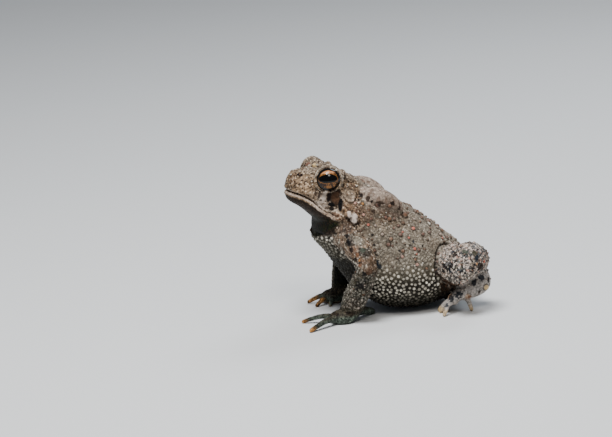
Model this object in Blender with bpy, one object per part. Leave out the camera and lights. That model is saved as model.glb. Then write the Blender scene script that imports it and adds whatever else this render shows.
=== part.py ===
"""An American toad sitting upright with its chin raised, as a still model.

The toad faces -Y with its left side toward +X and rests on the floor at z = 0.
Shapes are drawn in millimetres for a toad 62 mm from snout to vent, then scaled to metres.
"""

import math
import random

import bmesh
import bpy
from mathutils import Matrix, Vector
from mathutils.bvhtree import BVHTree

SNOUT_VENT = 0.062
DRAWN_SNOUT_VENT = 62.0
METRES = SNOUT_VENT / DRAWN_SNOUT_VENT

GAP = 0.3
MERGE_REACH = 0.03
ROOT_GAP = 0.42
VOXEL = 0.4
HEAD_FACES = 3600
TORSO_FACES = 3300
AROUND_FACES = 6000
ARM_FACES = 860
LEG_FACES = 560
FOOT_FACES = 480
# Rounds of smoothing of the bare trunk, the trunk with its details, and the limbs
TRUNK_ROUNDS = 6
DETAIL_ROUNDS = 1
LIMB_ROUNDS = 3

SIDES = {"left": 1, "right": -1}
DOWN = Vector((0, 0, -1))

# ------------------------------------------------------------------ dimensions
HEAD_YAW = math.radians(3.5)
HEAD_PITCH = math.radians(14)
HEAD_ORIGIN = Vector((0, -7.5, 33.0))
NECK_PIVOT = Vector((0, -6.0, 0))

# back y, back z, belly y, belly z, half width, height of the widest place, squareness
TORSO = [
    (25.0, 12.0, 24.6, 7.0, 2.5, 0.50, 2.0),
    (24.2, 15.2, 22.8, 4.6, 7.0, 0.50, 2.0),
    (21.6, 18.6, 18.5, 2.2, 11.5, 0.47, 2.1),
    (17.2, 22.6, 12.5, 0.5, 15.0, 0.45, 2.2),
    (11.5, 27.6, 5.5, 0.1, 16.8, 0.42, 2.2),
    (5.0, 32.1, -2.0, 1.6, 16.8, 0.42, 2.2),
    (-0.5, 35.6, -8.5, 6.5, 15.6, 0.48, 2.3),
    (-4.5, 38.1, -13.1, 13.0, 14.2, 0.55, 2.3),
    (-7.2, 39.4, -16.7, 18.6, 12.8, 0.60, 2.3),
    (-9.6, 40.2, -19.9, 22.6, 11.6, 0.60, 2.3),
    (-11.0, 40.4, -19.8, 25.4, 10.8, 0.60, 2.2),
    (-12.5, 40.4, -19.3, 29.0, 9.8, 0.60, 2.2),
]

# In the head's frame: forward, top, bottom, half width above, half width below, squareness
UPPER_HEAD = [
    (20.9, 3.2, 1.2, 1.2, 1.4, 2.2),
    (20.6, 4.7, 0.7, 2.2, 3.0, 2.4),
    (19.8, 5.9, 0.4, 3.1, 4.8, 2.7),
    (18.1, 6.7, 0.1, 4.0, 6.6, 2.9),
    (15.8, 7.3, -0.5, 5.2, 8.4, 2.9),
    (12.5, 7.8, -1.8, 6.6, 10.0, 2.8),
    (9.0, 8.1, -2.9, 8.4, 11.0, 2.7),
    (5.0, 7.9, -3.6, 9.4, 11.5, 2.7),
    (1.0, 7.1, -4.2, 9.8, 11.6, 2.6),
    (-3.0, 5.2, -5.0, 10.0, 11.4, 2.4),
]
LOWER_JAW = [
    (20.6, 0.5, -0.9, 1.6, 1.2, 2.2),
    (19.9, 0.7, -2.0, 3.8, 2.4, 2.4),
    (18.5, 0.6, -2.8, 5.6, 3.6, 2.4),
    (16.0, 0.2, -3.7, 7.7, 5.2, 2.4),
    (12.5, -0.8, -5.7, 9.5, 6.4, 2.4),
    (9.0, -2.0, -7.9, 10.6, 7.6, 2.4),
    (5.0, -3.0, -10.0, 11.2, 8.6, 2.4),
    (1.0, -3.5, -11.0, 11.2, 9.0, 2.4),
]
BROWS = [((6.9, 10.8, 7.4), (3.1, 4.2, 3.0)), ((7.9, 11.2, 6.2), (3.5, 4.3, 4.1))]
# The middle of the skull, from which the sides of the face are seen
SKULL_MIDDLE = 12.0

EYE_CENTRE = (8.2, 11.2, 6.3)
EYE_RADIUS = 3.6
EYE_AXIS = (0.93, 0.3, 0.14)
# Each lid edge circles the eye: depth ahead of its centre, half the opening along and up,
# distance from the centre and thickness
LID_RIMS = [(1.9, 3.5, 2.85, 4.1, 0.5), (0.7, 3.6, 3.3, 4.05, 0.55)]

# x, forward, up, radius of each raised ridge of the head
CRESTS = [
    [(4.4, 7.6, 8.2, 0.6), (4.1, 11.5, 7.8, 0.7), (4.5, 15.4, 7.2, 0.7), (3.4, 18.4, 6.2, 0.45)],
    [(4.6, 7.2, 8.4, 0.6), (7.4, 6.8, 8.8, 1.1), (10.2, 7.1, 6.2, 0.8), (11.0, 7.3, 3.8, 0.5)],
    [(7.6, 6.6, 8.4, 0.9), (8.0, 3.4, 7.6, 0.9), (8.4, 0.6, 7.0, 0.6)],
]
# Points of the mouth from the front to its corner
MOUTH = [
    (0, 20.7, 0.6),
    (4.0, 19.9, 0.5),
    (6.6, 18.0, 0.2),
    (8.6, 14.8, -0.9),
    (10.4, 11.4, -2.6),
    (11.6, 7.4, -3.9),
]
MOUTH_RADIUS = 0.4
LIP_HEIGHTS = (0.9, -1.0)
LIP_RADIUS = 0.42
LIP_SINK = 0.15
NOSTRIL = (3.2, 18.8, 5.6)
NOSTRIL_RADIUS = 0.4
NOSTRIL_MOUND = 2.2
TYMPANUM = (11.0, 4.7, 3.2)
TYMPANUM_SIZE = (1.6, 2.0)
TYMPANUM_RIM = 0.6
# Place and radii of the pale glands behind the corner of the mouth
MOUTH_GLANDS = [((11.6, 4.6, -2.8), (1.3, 1.0, 1.1)), ((11.6, 2.7, -3.9), (1.4, 1.1, 1.9))]

# x, y, z, radius along the parotoid gland behind the eye
PAROTOID = [
    (8.4, -5.7, 36.4, 1.9),
    (8.9, -3.8, 35.4, 3.0),
    (9.2, -1.0, 34.0, 3.3),
    (9.3, 1.8, 32.3, 2.8),
    (9.2, 3.6, 31.0, 1.8),
]
# Place and radii of the shoulder, and of the skin folded between belly, thigh and heel
SHOULDER = ((10.4, -9.4, 24.0), (4.8, 5.8, 6.4))
GROIN = ((10.3, 17.5, 8.0), (4.8, 6.5, 5.5))

# x, y, z, radius along each limb, given for the left side
ARM = {
    "left": [
        (10.0, -11.5, 25.0, 4.6),
        (14.6, -9.8, 20.8, 3.8),
        (17.4, -8.8, 16.2, 3.2),
        (16.3, -10.4, 11.4, 3.4),
        (14.1, -12.0, 7.0, 3.6),
        (13.0, -13.4, 3.4, 3.1),
    ],
    "right": [
        (10.0, -11.5, 25.0, 4.6),
        (14.8, -8.8, 20.8, 3.8),
        (17.4, -6.8, 16.2, 3.2),
        (16.8, -7.6, 11.4, 3.4),
        (15.0, -8.6, 7.2, 3.5),
        (13.4, -10.0, 3.6, 2.9),
    ],
}
# Direction in degrees from straight ahead toward the outside, length from the palm and thickness
FINGERS = {
    "left": [(-150, 11.4, 1.5), (-75, 8.0, 0.85), (-24, 12.0, 0.85), (32, 13.4, 0.95)],
    "right": [(-140, 7.5, 0.95), (-66, 6.2, 0.85), (-34, 7.6, 0.85), (10, 7.6, 0.85)],
}
PALM_AHEAD = 2.2
PALM_HEIGHT = 1.7
PALM_RADII = (3.7, 4.0, 2.3)
THIGH = {
    "left": [
        (6.8, 18.4, 11.4, 5.0),
        (12.5, 19.0, 13.2, 6.1),
        (19.0, 18.2, 13.7, 5.3),
        (22.6, 18.2, 13.6, 3.8),
    ],
    "right": [
        (6.5, 19.2, 10.0, 5.2),
        (12.5, 19.4, 11.0, 5.9),
        (19.0, 18.6, 11.0, 5.4),
        (22.6, 18.6, 10.8, 3.8),
    ],
}
SHANK = {
    "left": [
        (22.6, 18.8, 14.0, 3.8),
        (19.8, 21.2, 16.0, 5.0),
        (16.4, 23.9, 14.9, 4.2),
        (13.4, 25.3, 13.0, 3.2),
    ],
    "right": [
        (22.6, 19.0, 10.8, 3.8),
        (19.6, 22.0, 11.0, 5.0),
        (16.2, 24.0, 11.0, 4.2),
        (13.2, 25.2, 10.8, 3.1),
    ],
}
FOOT = [
    (13.4, 25.4, 10.2, 2.8),
    (14.4, 25.8, 7.4, 2.9),
    (15.6, 22.8, 5.9, 2.5),
    (16.4, 19.6, 5.3, 1.9),
    (17.0, 16.6, 4.4, 1.6),
]
# Where each toe starts, its direction in degrees from straight ahead toward the outside, and its length
TOES = [
    ((16.6, 17.4, 3.4), -55, 4.2),
    ((16.8, 17.0, 3.6), -35, 5.0),
    ((17.0, 16.6, 3.8), -18, 4.0),
    ((17.0, 16.4, 3.8), 43, 5.1),
    ((16.6, 20.0, 4.6), 135, 2.2),
]
TOE_RADIUS = 0.85
# Joints of a digit: share of its length, lift of the knuckle, width
DIGIT_JOINTS = [(0.1, 0, 1.3), (0.5, 0.9, 1.0), (0.8, 0.5, 0.85), (1, 0, 0.75)]
TIP_HEIGHT = 0.6

# y and z of the parting between head and torso: nape, behind the jaw, throat fold, in front
NECK_PARTING = [(-6.6, 50.0), (-8.4, 27.5), (-20.5, 24.6), (-40.0, 17.5)]
PARTING_HALF_WIDTH = 40.0
# A gap across the slanting parting, as a share of the step back and of the step down
PARTING_STEP = 0.94

WRIST_HEIGHT = 3.9

# x and y of the large warts that stand in a row each side of the spine
LARGE_WARTS = [(6.6, 6.4), (4.2, 9.8), (6.2, 13.2), (3.8, 16.6)]
LARGE_WART = 1.35
SMALL_WARTS = 60
SMALL_WART_RADII = (0.65, 1.05)
WART_SPACING = 3.4
WART_HEIGHT = 0.8
# Small warts keep this far from the joints of the parotoid glands
BARE_REACH = 4.6
WART_SEED = 11
# Warts stand behind this y and above this z, on skin that slopes no further under
WARTY_Y = -5.5
WARTY_Z = 13.0
WARTY_SLOPE = -0.2
# They keep off the upper arm, ahead of this y and below this z, and off the haunches, behind this y
# and further out than this sum of x and y
ARM_ROOT = (-3.0, 33.0)
HAUNCH_ROOT = (11.0, 24.0)
# Where the rays that find the back start
ABOVE_TOAD = 60.0

# Colour and roughness
SKIN_LOOK = ((0.30, 0.235, 0.165, 1), 0.6)
EYE_LOOK = ((0.06, 0.03, 0.012, 1), 0.1)


# ------------------------------------------------------------------ drawing tools
def head_point(x, forward, up):
    """The point of the toad's frame that has this place in the head's frame."""
    along = math.cos(HEAD_PITCH)
    rise = math.sin(HEAD_PITCH)
    level = HEAD_ORIGIN + Vector((x, rise * up - along * forward, rise * forward + along * up))
    return NECK_PIVOT + Matrix.Rotation(HEAD_YAW, 3, "Z") @ (level - NECK_PIVOT)


def head_axes():
    """The head's side, forward and up axes as the columns of a matrix."""
    origin = head_point(0, 0, 0)
    units = ((1, 0, 0), (0, 1, 0), (0, 0, 1))
    return Matrix([head_point(*unit) - origin for unit in units]).transposed()


def make_ball(segments, rings):
    """A mesh ball of radius 1, the pattern for every rounded lump."""
    bm = bmesh.new()
    bmesh.ops.create_uvsphere(bm, u_segments=segments, v_segments=rings, radius=1)
    mesh = bpy.data.meshes.new("ball")
    bm.to_mesh(mesh)
    bm.free()
    return mesh


def add_ball(bm, pattern, centre, radii, axes=Matrix.Identity(3)):
    """A copy of the pattern ball, stretched to radii along the columns of axes."""
    first = len(bm.verts)
    bm.from_mesh(pattern)
    bm.verts.ensure_lookup_table()
    place = Matrix.Translation(centre) @ axes.to_4x4() @ Matrix.Diagonal((*radii, 1))
    bmesh.ops.transform(bm, matrix=place, verts=bm.verts[first:])


def add_loft(bm, rings):
    """A closed shell through rings of equal length, with a fan over each end."""
    loops = [[bm.verts.new(point) for point in ring] for ring in rings]
    for here, ahead in zip(loops, loops[1:]):
        for i in range(len(here)):
            j = (i + 1) % len(here)
            bm.faces.new((here[i], here[j], ahead[j], ahead[i]))
    for loop in (loops[0], loops[-1]):
        middle = bm.verts.new(sum((v.co for v in loop), Vector()) / len(loop))
        for i in range(len(loop)):
            bm.faces.new((loop[i], loop[(i + 1) % len(loop)], middle))


def smooth_rows(rows, steps):
    """Rows of numbers along a Catmull-Rom curve through the given rows."""
    rows = [Vector(row) for row in rows]
    rows = [2 * rows[0] - rows[1], *rows, 2 * rows[-1] - rows[-2]]
    found = []
    for a, b, c, d in zip(rows, rows[1:], rows[2:], rows[3:]):
        curve = 2 * a - 5 * b + 4 * c - d
        swing = 3 * b - a - 3 * c + d
        for step in range(steps):
            t = step / steps
            found.append((2 * b + (c - a) * t + curve * t**2 + swing * t**3) / 2)
    return [*found, rows[-2]]


def add_tube(bm, pattern, joints, steps=5, sides=16):
    """A tube along a curve through joints of x, y, z and radius. A pattern ball rounds its ends."""
    line = smooth_rows([tuple(joint) for joint in joints], steps)
    centres = [row.xyz for row in line]
    across = None
    rings = []
    for i, row in enumerate(line):
        ahead = (centres[min(i + 1, len(line) - 1)] - centres[max(i - 1, 0)]).normalized()
        across = ahead.orthogonal() if across is None else across - ahead * across.dot(ahead)
        across = across.normalized()
        other = ahead.cross(across)
        turns = [2 * math.pi * k / sides for k in range(sides)]
        rings.append([row.xyz + (across * math.cos(t) + other * math.sin(t)) * row.w for t in turns])
    add_loft(bm, rings)
    for end in (line[0], line[-1]) if pattern else ():
        add_ball(bm, pattern, end.xyz, [end.w] * 3)


def squared_circle(count, squareness):
    """Cosine and sine pairs round a superellipse: 2 is round, more is squarer."""
    pairs = []
    power = 2 / squareness
    for k in range(count):
        c = math.cos(2 * math.pi * k / count)
        s = math.sin(2 * math.pi * k / count)
        pairs.append((math.copysign(abs(c) ** power, c), math.copysign(abs(s) ** power, s)))
    return pairs


def mirrored(joints, side):
    return [(side * x, y, z, radius) for x, y, z, radius in joints]


# ------------------------------------------------------------------ body shapes
RING_POINTS = 36
BALL = make_ball(16, 10)
WART = make_ball(7, 5)


def torso_rings():
    rings = []
    for back_y, back_z, belly_y, belly_z, half, widest, squareness in smooth_rows(TORSO, 4):
        back = Vector((0, back_y, back_z))
        belly = Vector((0, belly_y, belly_z))
        ring = []
        for c, s in squared_circle(RING_POINTS, squareness):
            share = widest + s * (1 - widest if s > 0 else widest)
            ring.append(belly.lerp(back, share) + Vector((half * c, 0, 0)))
        rings.append(ring)
    return rings


def head_rings(stations):
    rings = []
    for forward, top, bottom, above, below, squareness in smooth_rows(stations, 4):
        ring = []
        for c, s in squared_circle(RING_POINTS, squareness):
            half = below + (above - below) * (s + 1) / 2
            ring.append(head_point(half * c, forward, (top + bottom) / 2 + (top - bottom) / 2 * s))
        rings.append(ring)
    return rings


def eye_place(side):
    """Centre of the eyeball and the direction it looks."""
    x, forward, up = EYE_CENTRE
    outward, ahead, above = EYE_AXIS
    centre = head_point(side * x, forward, up)
    look = head_point(side * (x + outward), forward + ahead, up + above) - centre
    return centre, look.normalized()


def add_rim(bm, place_at, radius):
    """A thick closed rim through the points that place_at gives for each turn."""
    turns = [2 * math.pi * k / 24 for k in range(25)]
    add_tube(bm, BALL, [(*place_at(math.cos(turn), math.sin(turn)), radius) for turn in turns], 1, 8)


def add_trunk(bm):
    """The broad forms of head, neck and body."""
    axes = head_axes()
    add_loft(bm, torso_rings())
    add_loft(bm, head_rings(UPPER_HEAD))
    add_loft(bm, head_rings(LOWER_JAW))
    for side in SIDES.values():
        for (x, forward, up), radii in BROWS:
            add_ball(bm, BALL, head_point(side * x, forward, up), radii, axes)
        for (x, y, z), radii in (SHOULDER, GROIN):
            add_ball(bm, BALL, Vector((side * x, y, z)), radii)
        add_tube(bm, BALL, mirrored(PAROTOID, side))


def mouth_places():
    """Places in the head's frame along the mouth, from the right corner round to the left one."""
    left = [tuple(row) for row in smooth_rows(MOUTH, 3)]
    return [(-x, forward, up) for x, forward, up in reversed(left[1:])] + left


def on_skin(tree, x, forward, up):
    """Where a level line from the skull through the place leaves the head, and the direction outward."""
    inside = head_point(0, min(forward, SKULL_MIDDLE), up)
    outside = inside + (head_point(x, forward, up) - inside) * 2
    return tree.ray_cast(outside, inside - outside)[:2]


def add_lids(bm, side):
    centre, look = eye_place(side)
    along = look.cross(Vector((0, 0, 1))).normalized()
    rise = along.cross(look).normalized()
    for depth, half_long, half_tall, distance, thickness in LID_RIMS:
        def place_at(c, s):
            ray = look * depth + along * half_long * c + rise * half_tall * s
            return centre + ray.normalized() * distance

        add_rim(bm, place_at, thickness)


def add_eardrum(bm, tree, side):
    def place_at(c, s):
        x, forward, up = TYMPANUM
        long, tall = TYMPANUM_SIZE
        return on_skin(tree, side * x, forward + long * c, up + tall * s)[0]

    add_rim(bm, place_at, TYMPANUM_RIM)


def add_face(bm, tree):
    """Ridges, lids, lips, glands and eardrums, laid on the skin that the tree holds."""
    axes = head_axes()
    for height in LIP_HEIGHTS:
        joints = []
        for x, forward, up in mouth_places():
            place, outward = on_skin(tree, x, forward, up + height)
            joints.append((*(place - outward * LIP_SINK), LIP_RADIUS))
        add_tube(bm, BALL, joints, 1, 8)
    for side in SIDES.values():
        add_lids(bm, side)
        add_eardrum(bm, tree, side)
        for crest in CRESTS:
            joints = []
            for x, forward, up, radius in crest:
                place = tree.find_nearest(head_point(side * x, forward, up))[0]
                joints.append((*place, radius))
            add_tube(bm, BALL, joints)
        for (x, forward, up), radii in MOUTH_GLANDS:
            add_ball(bm, BALL, on_skin(tree, side * x, forward, up)[0], radii, axes)
        x, forward, up = NOSTRIL
        place, outward = tree.find_nearest(head_point(side * x, forward, up))[:2]
        add_ball(bm, BALL, place - outward * NOSTRIL_RADIUS, [NOSTRIL_RADIUS * NOSTRIL_MOUND] * 3)


def add_warts(bm, tree, faces):
    """Large warts in rows beside the spine, and small ones strewn over the faces given."""
    choice = random.Random(WART_SEED)
    spots = []
    for side in SIDES.values():
        for x, y in LARGE_WARTS:
            place, outward = tree.ray_cast(Vector((side * x, y, ABOVE_TOAD)), DOWN)[:2]
            spots.append((place, outward, LARGE_WART))
    bare = [Vector((side * x, y, z)) for side in SIDES.values() for x, y, z, _ in PAROTOID]
    for centre, outward in choice.sample(faces, len(faces)):
        if len(spots) == SMALL_WARTS:
            break
        clear = all((centre - place).length > BARE_REACH for place in bare)
        if clear and all((centre - place).length > WART_SPACING for place, _, _ in spots):
            spots.append((centre, outward, choice.uniform(*SMALL_WART_RADII)))
    for place, outward, radius in spots:
        axes = outward.to_track_quat("Z", "Y").to_matrix()
        add_ball(bm, BALL, place, (radius, radius, radius * WART_HEIGHT), axes)


def add_digit(bm, root, degrees, length, side, thickness):
    """A finger or toe that arches at the knuckle and comes down to its tip on the floor."""
    turn = math.radians(degrees)
    ahead = Vector((side * math.sin(turn), -math.cos(turn), 0))
    tip = root + ahead * length
    tip.z = thickness * TIP_HEIGHT
    joints = []
    for share, lift, width in DIGIT_JOINTS:
        joints.append((*(root.lerp(tip, share) + Vector((0, 0, lift))), thickness * width))
    add_tube(bm, BALL, joints, 4, 12)


def add_arm(bm, name):
    side = SIDES[name]
    joints = mirrored(ARM[name], side)
    palm = Vector((joints[-1][0], joints[-1][1] - PALM_AHEAD, PALM_HEIGHT))
    add_tube(bm, BALL, joints)
    add_ball(bm, BALL, palm, PALM_RADII)
    for degrees, length, thickness in FINGERS[name]:
        add_digit(bm, palm, degrees, length, side, thickness)


def add_folded_leg(bm, name):
    for joints in (THIGH[name], SHANK[name]):
        add_tube(bm, BALL, mirrored(joints, SIDES[name]))


def add_foot(bm, name):
    side = SIDES[name]
    add_tube(bm, BALL, mirrored(FOOT, side))
    for (x, y, z), degrees, length in TOES:
        add_digit(bm, Vector((side * x, y, z)), degrees, length, side, TOE_RADIUS)


# ------------------------------------------------------------------ solid tools
def new_object(name, bm):
    bmesh.ops.recalc_face_normals(bm, faces=bm.faces)
    mesh = bpy.data.meshes.new(name)
    bm.to_mesh(mesh)
    bm.free()
    obj = bpy.data.objects.new(name, mesh)
    bpy.context.scene.collection.objects.link(obj)
    return obj


def drawn(name, add_shapes, *details):
    """A new object holding what add_shapes draws."""
    bm = bmesh.new()
    add_shapes(bm, *details)
    return new_object(name, bm)


def apply_modifiers(obj):
    graph = bpy.context.evaluated_depsgraph_get()
    mesh = bpy.data.meshes.new_from_object(obj.evaluated_get(graph))
    obj.modifiers.clear()
    obj.data = mesh


def fuse(obj, voxel, rounds):
    """Turns overlapping shells into one closed skin and smooths it."""
    remesh = obj.modifiers.new("fuse", "REMESH")
    remesh.mode = "VOXEL"
    remesh.voxel_size = voxel
    smooth = obj.modifiers.new("smooth", "SMOOTH")
    smooth.factor = 0.5
    smooth.iterations = rounds
    apply_modifiers(obj)


def coarsen(obj, faces, chosen=lambda place: True):
    """Thins the skin where chosen says so, leaving about this many triangles there."""
    corners = sum(len(face.vertices) - 2 for face in obj.data.polygons)
    inside = sum(len(face.vertices) - 2 for face in obj.data.polygons if chosen(face.center))
    group = obj.vertex_groups.new(name="thinned")
    group.add([vert.index for vert in obj.data.vertices if chosen(vert.co)], 1, "REPLACE")
    thin = obj.modifiers.new("coarsen", "DECIMATE")
    thin.ratio = (corners - inside + faces) / corners
    thin.vertex_group = group.name
    apply_modifiers(obj)
    obj.vertex_groups.clear()


def surface_of(obj):
    """A tree that finds the nearest point of the object's skin."""
    mesh = obj.data
    return BVHTree.FromPolygons([v.co for v in mesh.vertices], [face.vertices for face in mesh.polygons])


def duplicate(obj, name):
    copy = bpy.data.objects.new(name, obj.data.copy())
    bpy.context.scene.collection.objects.link(copy)
    return copy


def swollen(obj, amount):
    """A copy of the object with its skin moved outward."""
    copy = duplicate(obj, "swollen")
    push = copy.modifiers.new("swell", "DISPLACE")
    push.strength = amount
    push.mid_level = 0
    apply_modifiers(copy)
    return copy


def combine(obj, other, operation):
    """Applies a Boolean with the other object and then removes that object."""
    boolean = obj.modifiers.new(operation.lower(), "BOOLEAN")
    boolean.operation = operation
    boolean.object = other
    boolean.solver = "EXACT"
    apply_modifiers(obj)
    bpy.data.objects.remove(other)


def keep_largest(obj):
    """Leaves only the largest connected surface of the object."""
    bm = bmesh.new()
    bm.from_mesh(obj.data)
    unseen = set(bm.verts)
    groups = []
    while unseen:
        group = [unseen.pop()]
        for vert in group:
            for edge in vert.link_edges:
                other = edge.other_vert(vert)
                if other in unseen:
                    unseen.remove(other)
                    group.append(other)
        groups.append(group)
    groups.sort(key=len)
    bmesh.ops.delete(bm, geom=[vert for group in groups[:-1] for vert in group], context="VERTS")
    bm.to_mesh(obj.data)
    bm.free()


def cut(obj, point, normal):
    """Removes what lies beyond the plane, on the side its normal points to, and closes the cut."""
    bm = bmesh.new()
    bm.from_mesh(obj.data)
    geometry = [*bm.verts, *bm.edges, *bm.faces]
    bmesh.ops.bisect_plane(bm, geom=geometry, plane_co=point, plane_no=normal, clear_outer=True)
    rim = [edge for edge in bm.edges if edge.is_boundary]
    bmesh.ops.holes_fill(bm, edges=rim)
    bmesh.ops.triangulate(bm, faces=[face for face in bm.faces if len(face.verts) > 4])
    bm.to_mesh(obj.data)
    bm.free()


def add_prism(bm, profile):
    """A prism across x over a profile of y and z points, wider than the toad."""
    sides = (-PARTING_HALF_WIDTH, PARTING_HALF_WIDTH)
    ends = [[bm.verts.new((x, y, z)) for y, z in profile] for x in sides]
    for end in ends:
        bm.faces.new(end)
    for i in range(len(profile)):
        j = (i + 1) % len(profile)
        bm.faces.new((ends[0][i], ends[0][j], ends[1][j], ends[1][i]))


def ahead_of_neck(shift):
    """Profile of the region in front of the neck parting, moved back and down by shift."""
    step = shift * PARTING_STEP
    line = [(y + step, z - step) for y, z in NECK_PARTING]
    return [*line, (line[-1][0], line[0][1])]


def in_head(place):
    (nape_y, nape_z), (jaw_y, jaw_z), (throat_y, throat_z) = NECK_PARTING[:3]
    behind_jaw = (place.y - jaw_y) * (nape_z - jaw_z) < (nape_y - jaw_y) * (place.z - jaw_z)
    above_throat = (place.z - throat_z) * (jaw_y - throat_y) > (jaw_z - throat_z) * (place.y - throat_y)
    return behind_jaw and above_throat


def on_back(place, outward):
    """Whether a face lies on the warty skin: the upper side of the body, clear of the limbs."""
    haunch = place.y > HAUNCH_ROOT[0] and abs(place.x) + place.y > HAUNCH_ROOT[1]
    arm = place.y < ARM_ROOT[0] and place.z < ARM_ROOT[1]
    upper = outward.z > WARTY_SLOPE and place.z > WARTY_Z and place.y > WARTY_Y
    return upper and not haunch and not arm


def bend(joints, middle, side):
    """A point inside a bent limb and the direction along it there, from the near part to the far one."""
    points = [Vector(joint[:3]) for joint in mirrored(joints, side)]
    corner = points[middle]
    normal = (points[-1] - corner).normalized() - (points[0] - corner).normalized()
    return corner, normal.normalized()


def part_at(obj, point, normal, beyond):
    """Cuts the object in two with a gap between. The piece beyond the plane gets its own name."""
    far = duplicate(obj, beyond)
    cut(obj, point - normal * GAP / 2, normal)
    cut(far, point + normal * GAP / 2, -normal)
    keep_largest(obj)
    keep_largest(far)
    return far


def tidy_mesh(obj):
    """Splits the faces into triangles and merges points that nearly meet."""
    bm = bmesh.new()
    bm.from_mesh(obj.data)
    bmesh.ops.triangulate(bm, faces=bm.faces)
    bmesh.ops.remove_doubles(bm, verts=bm.verts, dist=MERGE_REACH)
    bmesh.ops.dissolve_degenerate(bm, edges=bm.edges, dist=MERGE_REACH)
    bm.to_mesh(obj.data)
    bm.free()


# ------------------------------------------------------------------ building
for old in list(bpy.data.objects):
    bpy.data.objects.remove(old)

trunk = drawn("torso", add_trunk)
fuse(trunk, VOXEL, TRUNK_ROUNDS)
bare_skin = surface_of(trunk)
around_trunk = swollen(trunk, ROOT_GAP)
coarsen(around_trunk, AROUND_FACES)
wart_skin = []
for face in trunk.data.polygons:
    if on_back(face.center, face.normal):
        wart_skin.append((face.center.copy(), face.normal.copy()))
bm = bmesh.new()
bm.from_mesh(trunk.data)
add_face(bm, bare_skin)
add_warts(bm, bare_skin, wart_skin)
bpy.data.objects.remove(trunk)
trunk = new_object("torso", bm)
fuse(trunk, VOXEL, DETAIL_ROUNDS)
coarsen(trunk, HEAD_FACES, in_head)
coarsen(trunk, TORSO_FACES, lambda place: not in_head(place))
cut(trunk, Vector(), DOWN)

head = duplicate(trunk, "head")
combine(head, drawn("front", add_prism, ahead_of_neck(-GAP / 2)), "INTERSECT")
combine(trunk, drawn("front", add_prism, ahead_of_neck(GAP / 2)), "DIFFERENCE")
keep_largest(head)
keep_largest(trunk)
nodes = {"head": head, "torso": trunk}

for name, side in SIDES.items():
    eye = drawn("eye_" + name, add_ball, BALL, eye_place(side)[0], [EYE_RADIUS] * 3)
    combine(head, swollen(eye, GAP), "DIFFERENCE")
    nodes["eye_" + name] = eye
keep_largest(head)
face_skin = surface_of(head)
mouth = [(*on_skin(face_skin, *place)[0], MOUTH_RADIUS) for place in mouth_places()]
combine(head, drawn("mouth", add_tube, None, mouth, 1, 8), "DIFFERENCE")
for side in SIDES.values():
    x, forward, up = NOSTRIL
    hole = surface_of(head).find_nearest(head_point(side * x, forward, up))[0]
    combine(head, drawn("nostril", add_ball, WART, hole, [NOSTRIL_RADIUS] * 3), "DIFFERENCE")
keep_largest(head)

for name, side in SIDES.items():
    arm = drawn("upper_arm_" + name, add_arm, name)
    fuse(arm, VOXEL, LIMB_ROUNDS)
    coarsen(arm, ARM_FACES)
    combine(arm, duplicate(around_trunk, "around"), "DIFFERENCE")
    keep_largest(arm)
    hand = part_at(arm, Vector((0, 0, WRIST_HEIGHT)), DOWN, "hand_" + name)
    cut(hand, Vector(), DOWN)
    elbow, across_elbow = bend(ARM[name], 2, side)
    forearm = part_at(arm, elbow, across_elbow, "forearm_" + name)

    leg = drawn("thigh_" + name, add_folded_leg, name)
    fuse(leg, VOXEL, LIMB_ROUNDS)
    coarsen(leg, LEG_FACES)
    combine(leg, duplicate(around_trunk, "around"), "DIFFERENCE")
    keep_largest(leg)
    foot = drawn("foot_" + name, add_foot, name)
    fuse(foot, VOXEL, LIMB_ROUNDS)
    coarsen(foot, FOOT_FACES)
    combine(foot, swollen(leg, GAP), "DIFFERENCE")
    combine(foot, duplicate(around_trunk, "around"), "DIFFERENCE")
    keep_largest(foot)
    cut(foot, Vector(), DOWN)
    knee, across_knee = bend([*THIGH[name], SHANK[name][-1]], 3, side)
    shank = part_at(leg, knee, across_knee, "shank_" + name)

    for piece in (arm, forearm, hand, leg, shank, foot):
        nodes[piece.name] = piece
bpy.data.objects.remove(around_trunk)

for node in nodes.values():
    tidy_mesh(node)

corners = [Vector(corner) for node in nodes.values() for corner in node.bound_box]
middle = [(min(c[axis] for c in corners) + max(c[axis] for c in corners)) / 2 for axis in (0, 1)]
place = Matrix.Scale(METRES, 4) @ Matrix.Translation((-middle[0], -middle[1], 0))
for name, node in nodes.items():
    node.data.transform(place)
    node.data.shade_smooth()
    material = bpy.data.materials.new(name)
    material.use_nodes = True
    colour, roughness = EYE_LOOK if name.startswith("eye") else SKIN_LOOK
    surface = material.node_tree.nodes["Principled BSDF"]
    surface.inputs["Base Color"].default_value = colour
    surface.inputs["Roughness"].default_value = roughness
    node.data.materials.clear()
    node.data.materials.append(material)
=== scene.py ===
"""An American toad sitting upright with its chin raised: skin, eyes, floor, light and camera.

The toad faces -Y with its left side toward +X. Shapes are worked out in millimetres in the
frame the toad is drawn in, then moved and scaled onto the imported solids.
"""

import itertools
import math

import bmesh
import bpy
import numpy as np
from mathutils import Matrix, Vector
from mathutils.bvhtree import BVHTree
from mathutils.kdtree import KDTree


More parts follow.
